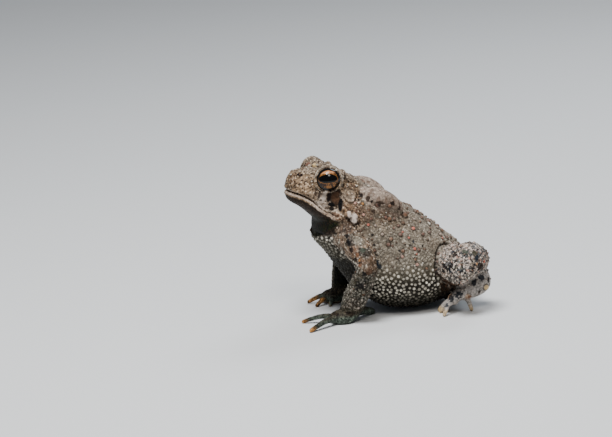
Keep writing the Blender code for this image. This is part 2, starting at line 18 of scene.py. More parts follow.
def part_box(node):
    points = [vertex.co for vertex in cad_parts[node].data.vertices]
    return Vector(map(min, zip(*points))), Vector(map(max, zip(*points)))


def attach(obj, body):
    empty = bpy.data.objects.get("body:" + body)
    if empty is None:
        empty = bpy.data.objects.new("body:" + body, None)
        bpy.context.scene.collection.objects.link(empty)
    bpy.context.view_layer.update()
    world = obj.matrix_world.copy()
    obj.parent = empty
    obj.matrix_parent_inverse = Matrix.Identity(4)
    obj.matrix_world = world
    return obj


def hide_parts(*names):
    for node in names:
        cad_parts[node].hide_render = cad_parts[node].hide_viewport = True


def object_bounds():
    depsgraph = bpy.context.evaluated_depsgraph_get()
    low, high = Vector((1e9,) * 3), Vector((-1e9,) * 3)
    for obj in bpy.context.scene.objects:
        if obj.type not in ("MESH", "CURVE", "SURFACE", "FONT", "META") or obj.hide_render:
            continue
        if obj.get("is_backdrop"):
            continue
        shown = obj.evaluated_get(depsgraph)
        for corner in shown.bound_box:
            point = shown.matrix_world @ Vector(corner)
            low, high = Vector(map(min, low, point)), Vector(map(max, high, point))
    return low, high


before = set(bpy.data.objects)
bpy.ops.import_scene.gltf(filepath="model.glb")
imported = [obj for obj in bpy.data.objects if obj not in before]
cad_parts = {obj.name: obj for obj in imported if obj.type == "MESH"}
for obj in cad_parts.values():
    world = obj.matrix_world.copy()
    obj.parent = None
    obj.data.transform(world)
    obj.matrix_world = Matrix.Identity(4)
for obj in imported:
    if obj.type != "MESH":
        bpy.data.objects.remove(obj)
cad_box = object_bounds()

SNOUT_VENT = 0.062
DRAWN_SNOUT_VENT = 62.0
METRES = SNOUT_VENT / DRAWN_SNOUT_VENT
SIDES = {"left": 1, "right": -1}
FORM_VOXEL = 0.35
SKIN_VOXEL = 0.15
SEED = 5

# ---------------- dimensions
HEAD_YAW = math.radians(3.5)
HEAD_PITCH = math.radians(14)
HEAD_ORIGIN = Vector((0, -7.5, 33.0))
NECK_PIVOT = Vector((0, -6.0, 0))

# back y, back z, belly y, belly z, half width, height of the widest place, squareness
TORSO = [
    (25, 12, 24.6, 7, 2.5, 0.5, 2), (24.2, 15.2, 22.8, 4.6, 7, 0.5, 2),
    (21.6, 18.6, 18.5, 2.2, 11.5, 0.47, 2.1), (17.2, 22.6, 12.5, 0.5, 15, 0.45, 2.2),
    (11.5, 27.6, 5.5, 0.1, 16.8, 0.42, 2.2), (5, 32.1, -2, 1.6, 16.8, 0.42, 2.2),
    (-0.5, 35.6, -8.5, 6.5, 15.6, 0.48, 2.3), (-4.5, 38.1, -13.1, 13, 14.2, 0.55, 2.3),
    (-7.2, 39.4, -16.7, 18.6, 12.8, 0.6, 2.3), (-9.6, 40.2, -19.9, 22.6, 11.6, 0.6, 2.3),
    (-11, 40.4, -19.8, 25.4, 10.8, 0.6, 2.2), (-12.5, 40.4, -19.3, 29, 9.8, 0.6, 2.2),
]

# In the head's frame: forward, top, bottom, half width above, half width below, squareness
UPPER_HEAD = [
    (20.9, 3.2, 1.2, 1.2, 1.4, 2.2), (20.6, 4.7, 0.7, 2.2, 3, 2.4), (19.8, 5.9, 0.4, 3.1, 4.8, 2.7),
    (18.1, 6.7, 0.1, 4, 6.6, 2.9), (15.8, 7.3, -0.5, 5.2, 8.4, 2.9), (12.5, 7.8, -1.8, 6.6, 10, 2.8),
    (9, 8.1, -2.9, 8.4, 11, 2.7), (5, 7.9, -3.6, 9.4, 11.5, 2.7), (1, 7.1, -4.2, 9.8, 11.6, 2.6),
    (-3, 5.2, -5, 10, 11.4, 2.4),
]
LOWER_JAW = [
    (20.6, 0.5, -0.9, 1.6, 1.2, 2.2), (19.9, 0.7, -2, 3.8, 2.4, 2.4), (18.5, 0.6, -2.8, 5.6, 3.6, 2.4),
    (16, 0.2, -3.7, 7.7, 5.2, 2.4), (12.5, -0.8, -5.7, 9.5, 6.4, 2.4), (9, -2, -7.9, 10.6, 7.6, 2.4),
    (5, -3, -10, 11.2, 8.6, 2.4), (1, -3.5, -11, 11.2, 9, 2.4),
]
BROWS = [((6.9, 10.8, 7.4), (3.1, 4.2, 3.0)), ((7.9, 11.2, 6.2), (3.5, 4.3, 4.1))]
# The middle of the skull, from which the sides of the face are seen
SKULL_MIDDLE = 12.0

EYE_CENTRE = (8.2, 11.2, 6.3)
EYE_RADIUS = 3.6
EYE_AXIS = (0.93, 0.3, 0.14)
# Each lid edge circles the eye: depth ahead of its centre, half the opening along and up,
# distance from the centre and thickness
LID_RIMS = [(1.2, 3.5, 2.9, 3.95, 0.25)]
LID_PAD = (4.15, 0.55)

# x, forward, up, radius of each raised ridge of the head
CRESTS = [
    [(4.4, 7.6, 8.2, 0.6), (4.1, 11.5, 7.8, 0.7), (4.5, 15.4, 7.2, 0.7), (3.4, 18.4, 6.2, 0.45)],
    [(4.6, 7.2, 8.4, 0.6), (7.4, 6.8, 8.8, 1.1), (10.2, 7.1, 6.2, 0.8), (11.0, 7.3, 3.8, 0.5)],
    [(7.6, 6.6, 8.4, 0.9), (8.0, 3.4, 7.6, 0.9), (8.4, 0.6, 7.0, 0.6)],
]
# Points of the mouth from the front to its corner
MOUTH = [
    (0, 20.7, 0.6), (4, 19.9, 0.5), (6.6, 18, 0.2), (8.6, 14.8, -0.9), (10.4, 11.4, -2.6),
    (11.6, 7.4, -3.9),
]
LIP_HEIGHTS = (0.9, -1.0)
LIP_RADIUS = 0.42
LIP_SINK = 0.15
NOSTRIL = (3.2, 18.8, 5.6)
NOSTRIL_RADIUS = 0.4
NOSTRIL_MOUND = 2.2
TYMPANUM = (11.0, 4.7, 3.2)
TYMPANUM_SIZE = (1.6, 2.0)
TYMPANUM_RIM = 0.6
# Place and radii of the pale glands behind the corner of the mouth
MOUTH_GLANDS = [((11.6, 4.6, -2.8), (1.3, 1.0, 1.1)), ((11.6, 2.7, -3.9), (1.4, 1.1, 1.9))]

# x, y, z, radius along the parotoid gland behind the eye
PAROTOID = [
    (8.4, -5.7, 36.4, 1.9), (8.9, -3.8, 35.4, 3), (9.2, -1, 34, 3.3), (9.3, 1.8, 32.3, 2.8),
    (9.2, 3.6, 31, 1.8),
]
# Place and radii of the shoulder, and of the skin folded between belly, thigh and heel
SHOULDER = ((10.4, -9.4, 24.0), (4.8, 5.8, 6.4))
GROIN = ((10.3, 17.5, 8.0), (4.8, 6.5, 5.5))

# x, y, z, radius along each limb, given for the left side
ARM = {
    "left": [
        (10, -11.5, 25, 4.6), (14.6, -9.8, 20.8, 3.8), (17.4, -8.8, 16.2, 3.2), (16.3, -10.4, 11.4, 3.4),
        (14.1, -12, 7, 3.6), (13, -13.4, 3.4, 3.1),
    ],
    "right": [
        (10, -11.5, 25, 4.6), (14.8, -8.8, 20.8, 3.8), (17.4, -6.8, 16.2, 3.2), (16.8, -7.6, 11.4, 3.4),
        (15, -8.6, 7.2, 3.5), (13.4, -10, 3.6, 2.9),
    ],
}
# Direction in degrees from straight ahead toward the outside, length from the palm and thickness
FINGERS = {
    "left": [(-150, 11.4, 1.5), (-75, 8.0, 0.85), (-24, 12.0, 0.85), (32, 13.4, 0.95)],
    "right": [(-140, 7.5, 0.95), (-66, 6.2, 0.85), (-34, 7.6, 0.85), (10, 7.6, 0.85)],
}
PALM_AHEAD = 2.2
PALM_HEIGHT = 1.7
PALM_RADII = (3.7, 4.0, 2.3)
THIGH = {
    "left": [
        (6.8, 18.4, 11.4, 5), (12.5, 19, 13.2, 6.1), (19, 18.2, 13.7, 5.3), (22.6, 18.2, 13.6, 3.8),
    ],
    "right": [
        (6.5, 19.2, 10, 5.2), (12.5, 19.4, 11, 5.9), (19, 18.6, 11, 5.4), (22.6, 18.6, 10.8, 3.8),
    ],
}
SHANK = {
    "left": [
        (22.6, 18.8, 14, 3.8), (19.8, 21.2, 16, 5), (16.4, 23.9, 14.9, 4.2), (13.4, 25.3, 13, 3.2),
    ],
    "right": [
        (22.6, 19, 10.8, 3.8), (19.6, 22, 11, 5), (16.2, 24, 11, 4.2), (13.2, 25.2, 10.8, 3.1),
    ],
}
FOOT = [
    (13.4, 25.4, 10.2, 2.8), (14.4, 25.8, 7.4, 2.9), (15.6, 22.8, 5.9, 2.5), (16.4, 19.6, 5.3, 1.9),
    (17, 16.6, 4.4, 1.6),
]
# Where each toe starts, its direction in degrees from straight ahead toward the outside, and its length
TOES = [
    ((16.6, 17.4, 3.4), -55, 4.2), ((16.8, 17, 3.6), -35, 5), ((17, 16.6, 3.8), -18, 4),
    ((17, 16.4, 3.8), 43, 5.1), ((16.6, 20, 4.6), 135, 2.2),
]
TOE_RADIUS = 0.85
# Joints of a digit: share of its length, lift of the knuckle, width
DIGIT_JOINTS = [(0.1, 0, 1.3), (0.5, 0.9, 1.0), (0.8, 0.5, 0.85), (1, 0, 0.75)]
TIP_HEIGHT = 0.6

# ---------------- drawing tools
def head_point(x, forward, up):
    """The point of the toad's frame that has this place in the head's frame."""
    along = math.cos(HEAD_PITCH)
    rise = math.sin(HEAD_PITCH)
    level = HEAD_ORIGIN + Vector((x, rise * up - along * forward, rise * forward + along * up))
    return NECK_PIVOT + Matrix.Rotation(HEAD_YAW, 3, "Z") @ (level - NECK_PIVOT)


def head_axes():
    """The head's side, forward and up axes as the columns of a matrix."""
    origin = head_point(0, 0, 0)
    units = ((1, 0, 0), (0, 1, 0), (0, 0, 1))
    return Matrix([head_point(*unit) - origin for unit in units]).transposed()


def make_ball(segments, rings):
    """A mesh ball of radius 1, the pattern for every rounded lump."""
    bm = bmesh.new()
    bmesh.ops.create_uvsphere(bm, u_segments=segments, v_segments=rings, radius=1)
    mesh = bpy.data.meshes.new("ball")
    bm.to_mesh(mesh)
    bm.free()
    return mesh


BALL = make_ball(16, 10)


def add_ball(bm, centre, radii, axes=Matrix.Identity(3)):
    """A ball stretched to radii along the columns of axes."""
    first = len(bm.verts)
    bm.from_mesh(BALL)
    bm.verts.ensure_lookup_table()
    place = Matrix.Translation(centre) @ axes.to_4x4() @ Matrix.Diagonal((*radii, 1))
    bmesh.ops.transform(bm, matrix=place, verts=bm.verts[first:])


def add_loft(bm, rings):
    """A closed shell through rings of equal length, with a fan over each end."""
    loops = [[bm.verts.new(point) for point in ring] for ring in rings]
    for here, ahead in zip(loops, loops[1:]):
        for i in range(len(here)):
            j = (i + 1) % len(here)
            bm.faces.new((here[i], here[j], ahead[j], ahead[i]))
    for loop in (loops[0], loops[-1]):
        middle = bm.verts.new(sum((v.co for v in loop), Vector()) / len(loop))
        for i in range(len(loop)):
            bm.faces.new((loop[i], loop[(i + 1) % len(loop)], middle))


def smooth_rows(rows, steps):
    """Rows of numbers along a Catmull-Rom curve through the given rows."""
    rows = [Vector(row) for row in rows]
    rows = [2 * rows[0] - rows[1], *rows, 2 * rows[-1] - rows[-2]]
    found = []
    for a, b, c, d in zip(rows, rows[1:], rows[2:], rows[3:]):
        curve = 2 * a - 5 * b + 4 * c - d
        swing = 3 * b - a - 3 * c + d
        for step in range(steps):
            t = step / steps
            found.append((2 * b + (c - a) * t + curve * t**2 + swing * t**3) / 2)
    return [*found, rows[-2]]


def add_tube(bm, joints, steps=5, sides=16):
    """A tube along a curve through joints of x, y, z and radius. A ball rounds each end."""
    line = smooth_rows([tuple(joint) for joint in joints], steps)
    centres = [row.xyz for row in line]
    across = None
    rings = []
    for i, row in enumerate(line):
        ahead = (centres[min(i + 1, len(line) - 1)] - centres[max(i - 1, 0)]).normalized()
        across = ahead.orthogonal() if across is None else across - ahead * across.dot(ahead)
        across = across.normalized()
        other = ahead.cross(across)
        turns = [2 * math.pi * k / sides for k in range(sides)]
        rings.append([row.xyz + (across * math.cos(t) + other * math.sin(t)) * row.w for t in turns])
    add_loft(bm, rings)
    for end in (line[0], line[-1]):
        add_ball(bm, end.xyz, [end.w] * 3)


def squared_circle(count, squareness):
    """Cosine and sine pairs round a superellipse: 2 is round, more is squarer."""
    pairs = []
    power = 2 / squareness
    for k in range(count):
        c = math.cos(2 * math.pi * k / count)
        s = math.sin(2 * math.pi * k / count)
        pairs.append((math.copysign(abs(c) ** power, c), math.copysign(abs(s) ** power, s)))
    return pairs


def mirrored(joints, side):
    return [(side * x, y, z, radius) for x, y, z, radius in joints]


# ---------------- body shapes
RING_POINTS = 36


def torso_rings():
    rings = []
    for back_y, back_z, belly_y, belly_z, half, widest, squareness in smooth_rows(TORSO, 4):
        back = Vector((0, back_y, back_z))
        belly = Vector((0, belly_y, belly_z))
        ring = []
        for c, s in squared_circle(RING_POINTS, squareness):
            share = widest + s * (1 - widest if s > 0 else widest)
            ring.append(belly.lerp(back, share) + Vector((half * c, 0, 0)))
        rings.append(ring)
    return rings


def head_rings(stations):
    rings = []
    for forward, top, bottom, above, below, squareness in smooth_rows(stations, 4):
        ring = []
        for c, s in squared_circle(RING_POINTS, squareness):
            half = below + (above - below) * (s + 1) / 2
            ring.append(head_point(half * c, forward, (top + bottom) / 2 + (top - bottom) / 2 * s))
        rings.append(ring)
    return rings


def eye_place(side):
    """Centre of the eyeball and the direction it looks."""
    x, forward, up = EYE_CENTRE
    outward, ahead, above = EYE_AXIS
    centre = head_point(side * x, forward, up)
    look = head_point(side * (x + outward), forward + ahead, up + above) - centre
    return centre, look.normalized()


def eye_axes(look):
    """The level and the rising direction across a line of sight."""
    along = look.cross(Vector((0, 0, 1))).normalized()
    return along, along.cross(look).normalized()


def add_rim(bm, place_at, radius):
    """A thick closed rim through the points that place_at gives for each turn."""
    turns = [2 * math.pi * k / 24 for k in range(25)]
    add_tube(bm, [(*place_at(math.cos(turn), math.sin(turn)), radius) for turn in turns], 1, 8)


def add_trunk(bm):
    """The broad forms of head, neck and body."""
    axes = head_axes()
    add_loft(bm, torso_rings())
    add_loft(bm, head_rings(UPPER_HEAD))
    add_loft(bm, head_rings(LOWER_JAW))
    for side in SIDES.values():
        for (x, forward, up), radii in BROWS:
            add_ball(bm, head_point(side * x, forward, up), radii, axes)
        for (x, y, z), radii in (SHOULDER, GROIN):
            add_ball(bm, Vector((side * x, y, z)), radii)
        add_tube(bm, mirrored(PAROTOID, side))


def mouth_places():
    """Places in the head's frame along the mouth, from the right corner round to the left one."""
    left = [tuple(row) for row in smooth_rows(MOUTH, 3)]
    return [(-x, forward, up) for x, forward, up in reversed(left[1:])] + left


def on_skin(tree, x, forward, up):
    """Where a level line from the skull through the place leaves the head, and the direction outward."""
    inside = head_point(0, min(forward, SKULL_MIDDLE), up)
    outside = inside + (head_point(x, forward, up) - inside) * 2
    return tree.ray_cast(outside, inside - outside)[:2]


def add_lids(bm, side):
    centre, look = eye_place(side)
    along, rise = eye_axes(look)
    for depth, half_long, half_tall, distance, thickness in LID_RIMS:
        def place_at(c, s):
            ray = look * depth + along * half_long * c + rise * half_tall * s
            return centre + ray.normalized() * distance

        add_rim(bm, place_at, thickness)
    radius, sunk = LID_PAD
    add_ball(bm, centre - look * sunk, [radius] * 3)


def add_eardrum(bm, tree, side):
    def place_at(c, s):
        x, forward, up = TYMPANUM
        long, tall = TYMPANUM_SIZE
        return on_skin(tree, side * x, forward + long * c, up + tall * s)[0]

    add_rim(bm, place_at, TYMPANUM_RIM)


def add_face(bm, tree):
    """Ridges, lids, lips, glands and eardrums, laid on the skin that the tree holds."""
    axes = head_axes()
    for height in LIP_HEIGHTS:
        joints = []
        for x, forward, up in mouth_places():
            place, outward = on_skin(tree, x, forward, up + height)
            joints.append((*(place - outward * LIP_SINK), LIP_RADIUS))
        add_tube(bm, joints, 1, 8)
    for side in SIDES.values():
        add_lids(bm, side)
        add_eardrum(bm, tree, side)
        for crest in CRESTS:
            joints = []
            for x, forward, up, radius in crest:
                place = tree.find_nearest(head_point(side * x, forward, up))[0]
                joints.append((*place, radius))
            add_tube(bm, joints)
        for (x, forward, up), radii in MOUTH_GLANDS:
            add_ball(bm, on_skin(tree, side * x, forward, up)[0], radii, axes)
        x, forward, up = NOSTRIL
        place, outward = tree.find_nearest(head_point(side * x, forward, up))[:2]
        add_ball(bm, place - outward * NOSTRIL_RADIUS, [NOSTRIL_RADIUS * NOSTRIL_MOUND] * 3)


def add_digit(bm, root, degrees, length, side, thickness):
    """A finger or toe that arches at the knuckle and comes down to the floor. Gives back its tip."""
    turn = math.radians(degrees)
    ahead = Vector((side * math.sin(turn), -math.cos(turn), 0))
    tip = root + ahead * length
    tip.z = thickness * TIP_HEIGHT
    joints = []
    for share, lift, width in DIGIT_JOINTS:
        joints.append((*(root.lerp(tip, share) + Vector((0, 0, lift))), thickness * width))
    add_tube(bm, joints, 4, 12)
    return tip


def add_arm(bm, name):
    side = SIDES[name]
    joints = mirrored(ARM[name], side)
    palm = Vector((joints[-1][0], joints[-1][1] - PALM_AHEAD, PALM_HEIGHT))
    add_tube(bm, joints)
    add_ball(bm, palm, PALM_RADII)
    tips = []
    for degrees, length, thickness in FINGERS[name]:
        tips.append(add_digit(bm, palm, degrees, length, side, thickness))
    return tips


def add_folded_leg(bm, name):
    for joints in (THIGH[name], SHANK[name]):
        add_tube(bm, mirrored(joints, SIDES[name]))


def add_foot(bm, name):
    side = SIDES[name]
    add_tube(bm, mirrored(FOOT, side))
    tips = []
    for (x, y, z), degrees, length in TOES:
        tips.append(add_digit(bm, Vector((side * x, y, z)), degrees, length, side, TOE_RADIUS))
    return tips


# ---------------- solid tools
def new_object(name, bm):
    bmesh.ops.recalc_face_normals(bm, faces=bm.faces)
    mesh = bpy.data.meshes.new(name)
    bm.to_mesh(mesh)
    bm.free()
    obj = bpy.data.objects.new(name, mesh)
    bpy.context.scene.collection.objects.link(obj)
    return obj


def apply_modifiers(obj):
    graph = bpy.context.evaluated_depsgraph_get()
    mesh = bpy.data.meshes.new_from_object(obj.evaluated_get(graph))
    obj.modifiers.clear()
    obj.data = mesh


def fuse(obj, voxel, rounds):
    """Turns overlapping shells into one closed skin and smooths it."""
    remesh = obj.modifiers.new("fuse", "REMESH")
    remesh.mode = "VOXEL"
    remesh.voxel_size = voxel
    smooth = obj.modifiers.new("smooth", "SMOOTH")
    smooth.factor = 0.5
    smooth.iterations = rounds
    apply_modifiers(obj)


def surface_of(obj):
    """A tree that finds the nearest point of the object's skin."""
    mesh = obj.data
    return BVHTree.FromPolygons([v.co for v in mesh.vertices], [face.vertices for face in mesh.polygons])


# ---------------- numbers over the skin
def ramp(low, high, value):
    t = np.clip((value - low) / (high - low), 0, 1)
    return t * t * (3 - 2 * t)


def distance(points, spot):
    return np.linalg.norm(points - np.array(spot), axis=1)


def bell(value, width):
    """1 where the value is 0, fading over the width on either side."""
    return np.exp(-((value / width) ** 2))


def scramble(cell, seed):
    """A random value from 0 to 1 for each whole-numbered cell."""
    x, y, z = cell.T
    mixed = (x * 73856093) ^ (y * 19349663) ^ (z * 83492791) ^ (seed * 2654435)
    mixed = (mixed * (mixed * mixed * 15731 + 789221) + 1376312589) & 0x7FFFFFFF
    return mixed / 0x7FFFFFFF


def noise(points, size, seed):
    """Smooth random values from -1 to 1, with lumps about size across."""
    spread = points / size + seed * 3.7
    cell = np.floor(spread).astype(np.int64)
    part = spread - cell
    ease = part * part * (3 - 2 * part)
    total = np.zeros(len(points))
    for corner in itertools.product((0, 1), repeat=3):
        share = np.prod(np.where(corner, ease, 1 - ease), axis=1)
        total += share * (scramble(cell + corner, seed) * 2 - 1)
    return total


def fractal(points, size, seed, octaves=3):
    total = np.zeros(len(points))
    for octave in range(octaves):
        total += noise(points, size / 2**octave, seed + octave) / 2**octave
    return total / (2 - 0.5 ** (octaves - 1))


# Turns the cells of granules away from the axes, so that no rows show
TILT = np.array(
    Matrix.Rotation(0.7, 3, "X") @ Matrix.Rotation(0.5, 3, "Y") @ Matrix.Rotation(1.1, 3, "Z")
)


# Centres keep this far off the walls of their cells
CELL_WALL = 0.12


def cellular(points, size, seed):
    """Distances to the nearest and next of scattered centres, in cells, and a value for the nearest."""
    spread = points @ TILT / size + 0.25 * noise(points, size * 3, seed)[:, None]
    home = np.floor(spread).astype(np.int64)
    nearest = np.full(len(points), 9.0)
    following = nearest.copy()
    value = np.zeros(len(points))
    for step in itertools.product((-1, 0, 1), repeat=3):
        cell = home + step
        centre = np.stack([scramble(cell, seed + axis) for axis in range(3)], axis=1)
        far = np.linalg.norm(cell + CELL_WALL + (1 - 2 * CELL_WALL) * centre - spread, axis=1)
        closer = far < nearest
        following = np.where(closer, nearest, np.minimum(following, far))
        value = np.where(closer, scramble(cell, seed + 3), value)
        nearest = np.where(closer, far, nearest)
    return nearest, following, value


def head_places(points):
    """Side, forward and up of each point in the head's frame."""
    pivot = np.array(NECK_PIVOT)
    level = pivot + (points - pivot) @ np.array(Matrix.Rotation(HEAD_YAW, 3, "Z"))
    away = level - np.array(HEAD_ORIGIN)
    c = math.cos(HEAD_PITCH)
    s = math.sin(HEAD_PITCH)
    return away[:, 0], s * away[:, 2] - c * away[:, 1], s * away[:, 1] + c * away[:, 2]


def spread_over(mesh, values, rounds):
    """Softens per-vertex values by averaging them with their neighbours."""
    ends = np.empty(len(mesh.edges) * 2, np.int32)
    mesh.edges.foreach_get("vertices", ends)
    a, b = ends.reshape(-1, 2).T
    count = np.bincount(a, minlength=len(values)) + np.bincount(b, minlength=len(values))
    for _ in range(rounds):
        total = np.bincount(a, values[b], len(values)) + np.bincount(b, values[a], len(values))
        values = (values + total) / (count + 1)
    return values


def read_mesh(mesh):
    points = np.empty(len(mesh.vertices) * 3)
    mesh.vertices.foreach_get("co", points)
    outward = np.empty(len(mesh.vertices) * 3)
    mesh.vertices.foreach_get("normal", outward)
    return points.reshape(-1, 3), outward.reshape(-1, 3)


def store(mesh, name, values):
    """Writes per-vertex numbers or colours under a name that the material reads."""
    if values.ndim == 1:
        mesh.attributes.new(name, "FLOAT", "POINT").data.foreach_set("value", values.astype(np.float32))
    else:
        solid = np.concatenate([values, np.ones((len(values), 1))], axis=1)
        layer = mesh.attributes.new(name, "FLOAT_COLOR", "POINT")
        layer.data.foreach_set("color", solid.astype(np.float32).ravel())


# ---------------- the skin's broad form
# Place and radii of the lump under the heel
HEEL_TUBERCLE = ((16.6, 26.6, 6.4), (1.0, 0.9, 0.9))
FORM_SMOOTHING = 5
SKIN_SMOOTHING = 2


def add_forms(bm):
    """Trunk and limbs together. Gives back each kind of form's points, and the digits' tips."""
    owned = {"trunk": [], "arm": [], "leg": [], "foot": []}
    tips = []

    def keep(kind, add_shapes, *details):
        first = len(bm.verts)
        tips.extend(add_shapes(bm, *details) or [])
        bm.verts.ensure_lookup_table()
        owned[kind] += [vert.co.copy() for vert in bm.verts[first:]]

    keep("trunk", add_trunk)
    for name in SIDES:
        keep("arm", add_arm, name)
        keep("leg", add_folded_leg, name)
        keep("foot", add_foot, name)
    for side in SIDES.values():
        (x, y, z), radii = HEEL_TUBERCLE
        add_ball(bm, Vector((side * x, y, z)), radii)
    return owned, tips


def nearest_of(spots, places):
    """For each place, which of the spots lies nearest, and how far off it is."""
    tree = KDTree(len(spots))
    for index, spot in enumerate(spots):
        tree.insert(spot, index)
    tree.balance()
    found = [tree.find(place)[1:] for place in places]
    return np.array([which for which, _ in found], int), np.array([far for _, far in found])


def share_of(points, owned):
    """For each form, how much of each point is its own: softened where two forms meet."""
    spots = [spot for form in owned.values() for spot in form]
    owner = np.repeat(np.arange(len(owned)), [len(form) for form in owned.values()])
    which = owner[nearest_of(spots, points)[0]]
    return [spread_over(mesh, (which == index).astype(float), 6) for index in range(len(owned))]


bm = bmesh.new()
owned, tips = add_forms(bm)
body = new_object("toad_skin", bm)
fuse(body, FORM_VOXEL, FORM_SMOOTHING)
bare_skin = surface_of(body)
bm = bmesh.new()
bm.from_mesh(body.data)
add_face(bm, bare_skin)
bpy.data.objects.remove(body)
body = new_object("toad_skin", bm)
fuse(body, SKIN_VOXEL, SKIN_SMOOTHING)
mesh = body.data

points, outward = read_mesh(mesh)
side_x, forward, up = head_places(points)
x, y, z = points.T
skyward = outward[:, 2]
trunk, arms, leg, foot = share_of(points, owned)

# ---------------- regions of the skin
# Each is 1 within the region and fades to 0 outside it. Places are in millimetres, along x, y, z
# or forward and up from the head's origin. The last number of every noise is its seed.
# Planes that part the head from the body, across the nape and above the throat
along_nape = y + 6.6 + (50 - z) * 0.08
over_throat = (z - 24.6) * 0.972 - (y + 20.5) * 0.233
head = ramp(0.8, -0.8, along_nape) * ramp(-0.6, 0.6, over_throat) * trunk
limb = arms + leg + foot
torso = np.clip(trunk - head, 0, 1)
under = ramp(0.1, -0.6, skyward)
low = ramp(24, 9, z)
belly = torso * np.maximum(low * 0.9, under)
chest = torso * ramp(-10, -15, y) * ramp(34, 27, z)
throat = head * ramp(0.0, -0.5, skyward)
hand = arms * ramp(6.0, 3.6, z)
digits = np.maximum(hand, foot) * ramp(3.4, 1.6, z)
# The finger that points backward on each hand stays grey to its tip: the depths it lies between
BACK_FINGERS = (-15.5, 2)
bright_tips = [tip for tip in tips if not BACK_FINGERS[0] < tip.y < BACK_FINGERS[1]]
from_tip = np.min([distance(points, tip) for tip in bright_tips], axis=0)
tipped = digits * np.maximum(ramp(2.4, 0.9, from_tip), 0.4 * ramp(0.9, 0.4, z) * (from_tip < 8))
tipped = np.maximum(tipped, digits * arms * (x < 0) * ramp(4.2, 3.0, from_tip))

# ---------------- mouth
MOUTH_REACH = 2.2
FAR_OFF = 99.0


def mouth_on_skin():
    """Points of the line of the mouth, on the finished face."""
    face_skin = surface_of(body)
    spots = [on_skin(face_skin, *place)[0] for place in smooth_rows(mouth_places(), 6)]
    return np.array([spot for spot in spots if spot is not None])


def off_mouth(line, line_up):
    """How far each point is from the line of the mouth, and how far above it."""
    off = np.full(len(points), FAR_OFF)
    above = np.zeros(len(points))
    face = np.nonzero((head > 0.3) & (forward > 4) & (up < 4))[0]
    nearest, far = nearest_of(line, points[face])
    close = far < MOUTH_REACH
    off[face[close]] = far[close]
    above[face[close]] = (up[face] - line_up[nearest])[close]
    return off, above


mouth_line = mouth_on_skin()
_, mouth_forward, mouth_up = head_places(mouth_line)
in_order = np.argsort(mouth_forward)
below_lip = np.interp(forward, mouth_forward[in_order], mouth_up[in_order]) - up
mouth_off, mouth_above = off_mouth(mouth_line, mouth_up)
near_mouth = mouth_off < MOUTH_REACH
groove = bell(mouth_off, 0.2)
lip = near_mouth * (mouth_above < 0) * ramp(0.2, 0.45, mouth_off) * ramp(1.15, 0.8, mouth_off)
upper_lip = near_mouth * (mouth_above > 0) * ramp(0.2, 0.4, mouth_off) * ramp(1.0, 0.6, mouth_off)

# ---------------- eyes, eardrums and nostrils
# Half the opening of the lids, along and up, as angles seen from the middle of the eye
EYE_OPENING = (math.radians(76), math.radians(67))
# Side, forward and up of the place where the right lid sinks behind the eye
LID_DIP = (-6.2, 8.8, 9.6)

# Distance from the middle of the eardrum on either side, in half widths of its ellipse
eardrum = np.hypot((forward - TYMPANUM[1]) / TYMPANUM_SIZE[0], (up - TYMPANUM[2]) / TYMPANUM_SIZE[1])
eardrum += FAR_OFF * (np.abs(side_x) < 7)
nostril = np.full(len(points), FAR_OFF)
for side in SIDES.values():
    hole = bare_skin.find_nearest(head_point(side * NOSTRIL[0], *NOSTRIL[1:]))[0]
    nostril = np.minimum(nostril, distance(points, hole))


def lid_places(side):
    """Centre of the eye, and for each point its distance, place in the opening and height there."""
    centre, look = eye_place(side)
    ray = points - np.array(centre)
    level, high, depth = (ray @ np.array(axis) for axis in (*eye_axes(look), look))
    across = np.hypot(level, high)
    turned = np.arctan2(across, depth) / np.maximum(across, 1e-6)
    opening = np.hypot(level * turned / EYE_OPENING[0], high * turned / EYE_OPENING[1])
    return np.array(centre), np.linalg.norm(ray, axis=1), opening, high


lids = [lid_places(side) for side in SIDES.values()]

# ---------------- colours
def tone(*screen):
    """A colour as it looks on a screen, 0 to 255, turned into the linear one that materials take."""
    return tuple(((part / 255 + 0.055) / 1.055) ** 2.4 for part in screen)


GREY_BROWN = tone(132, 118, 103)
WARM_BROWN = tone(118, 88, 62)
TAN = tone(148, 122, 95)
PINK_TAN = tone(164, 146, 132)
OLIVE = tone(60, 57, 42)
# Dark brown of the throat, deepened with painted shade under the jaw
THROAT_AND_SHADE_BROWN = tone(40, 30, 22)
# Dark olive: the male's dark vocal pouch, and painted shade on the inner arms and between the arms
POUCH_AND_SHADE_GREEN = tone(24, 26, 5)
GREEN_GREY = tone(62, 68, 58)
FINGER_GREY = tone(104, 116, 104)
PALE_OLIVE = tone(122, 116, 102)
PINK_PALE = tone(190, 174, 162)
FOOT_GREY = tone(178, 170, 162)
BLUE_GREY = tone(84, 92, 98)
ORANGE = tone(172, 120, 66)
RUSSET = tone(112, 76, 54)
OCHRE = tone(206, 174, 118)
STRIATED = tone(46, 27, 14)
PALE = tone(214, 206, 190)
CREAM = tone(210, 194, 178)
RUST = tone(104, 70, 58)
RED = tone(198, 104, 84)
PINK = tone(200, 152, 134)
DARK = tone(14, 11, 12)
BLUISH = tone(20, 30, 40)
BROWN = tone(82, 58, 42)
UMBER = tone(38, 26, 18)


def layered(colour, layers):
    """Colours laid one over another. Each layer is a colour and how much of it shows."""
    for shade, share in layers:
        share = np.clip(share, 0, 1)[:, None]
        colour = colour * (1 - share) + np.array(shade) * share
    return colour


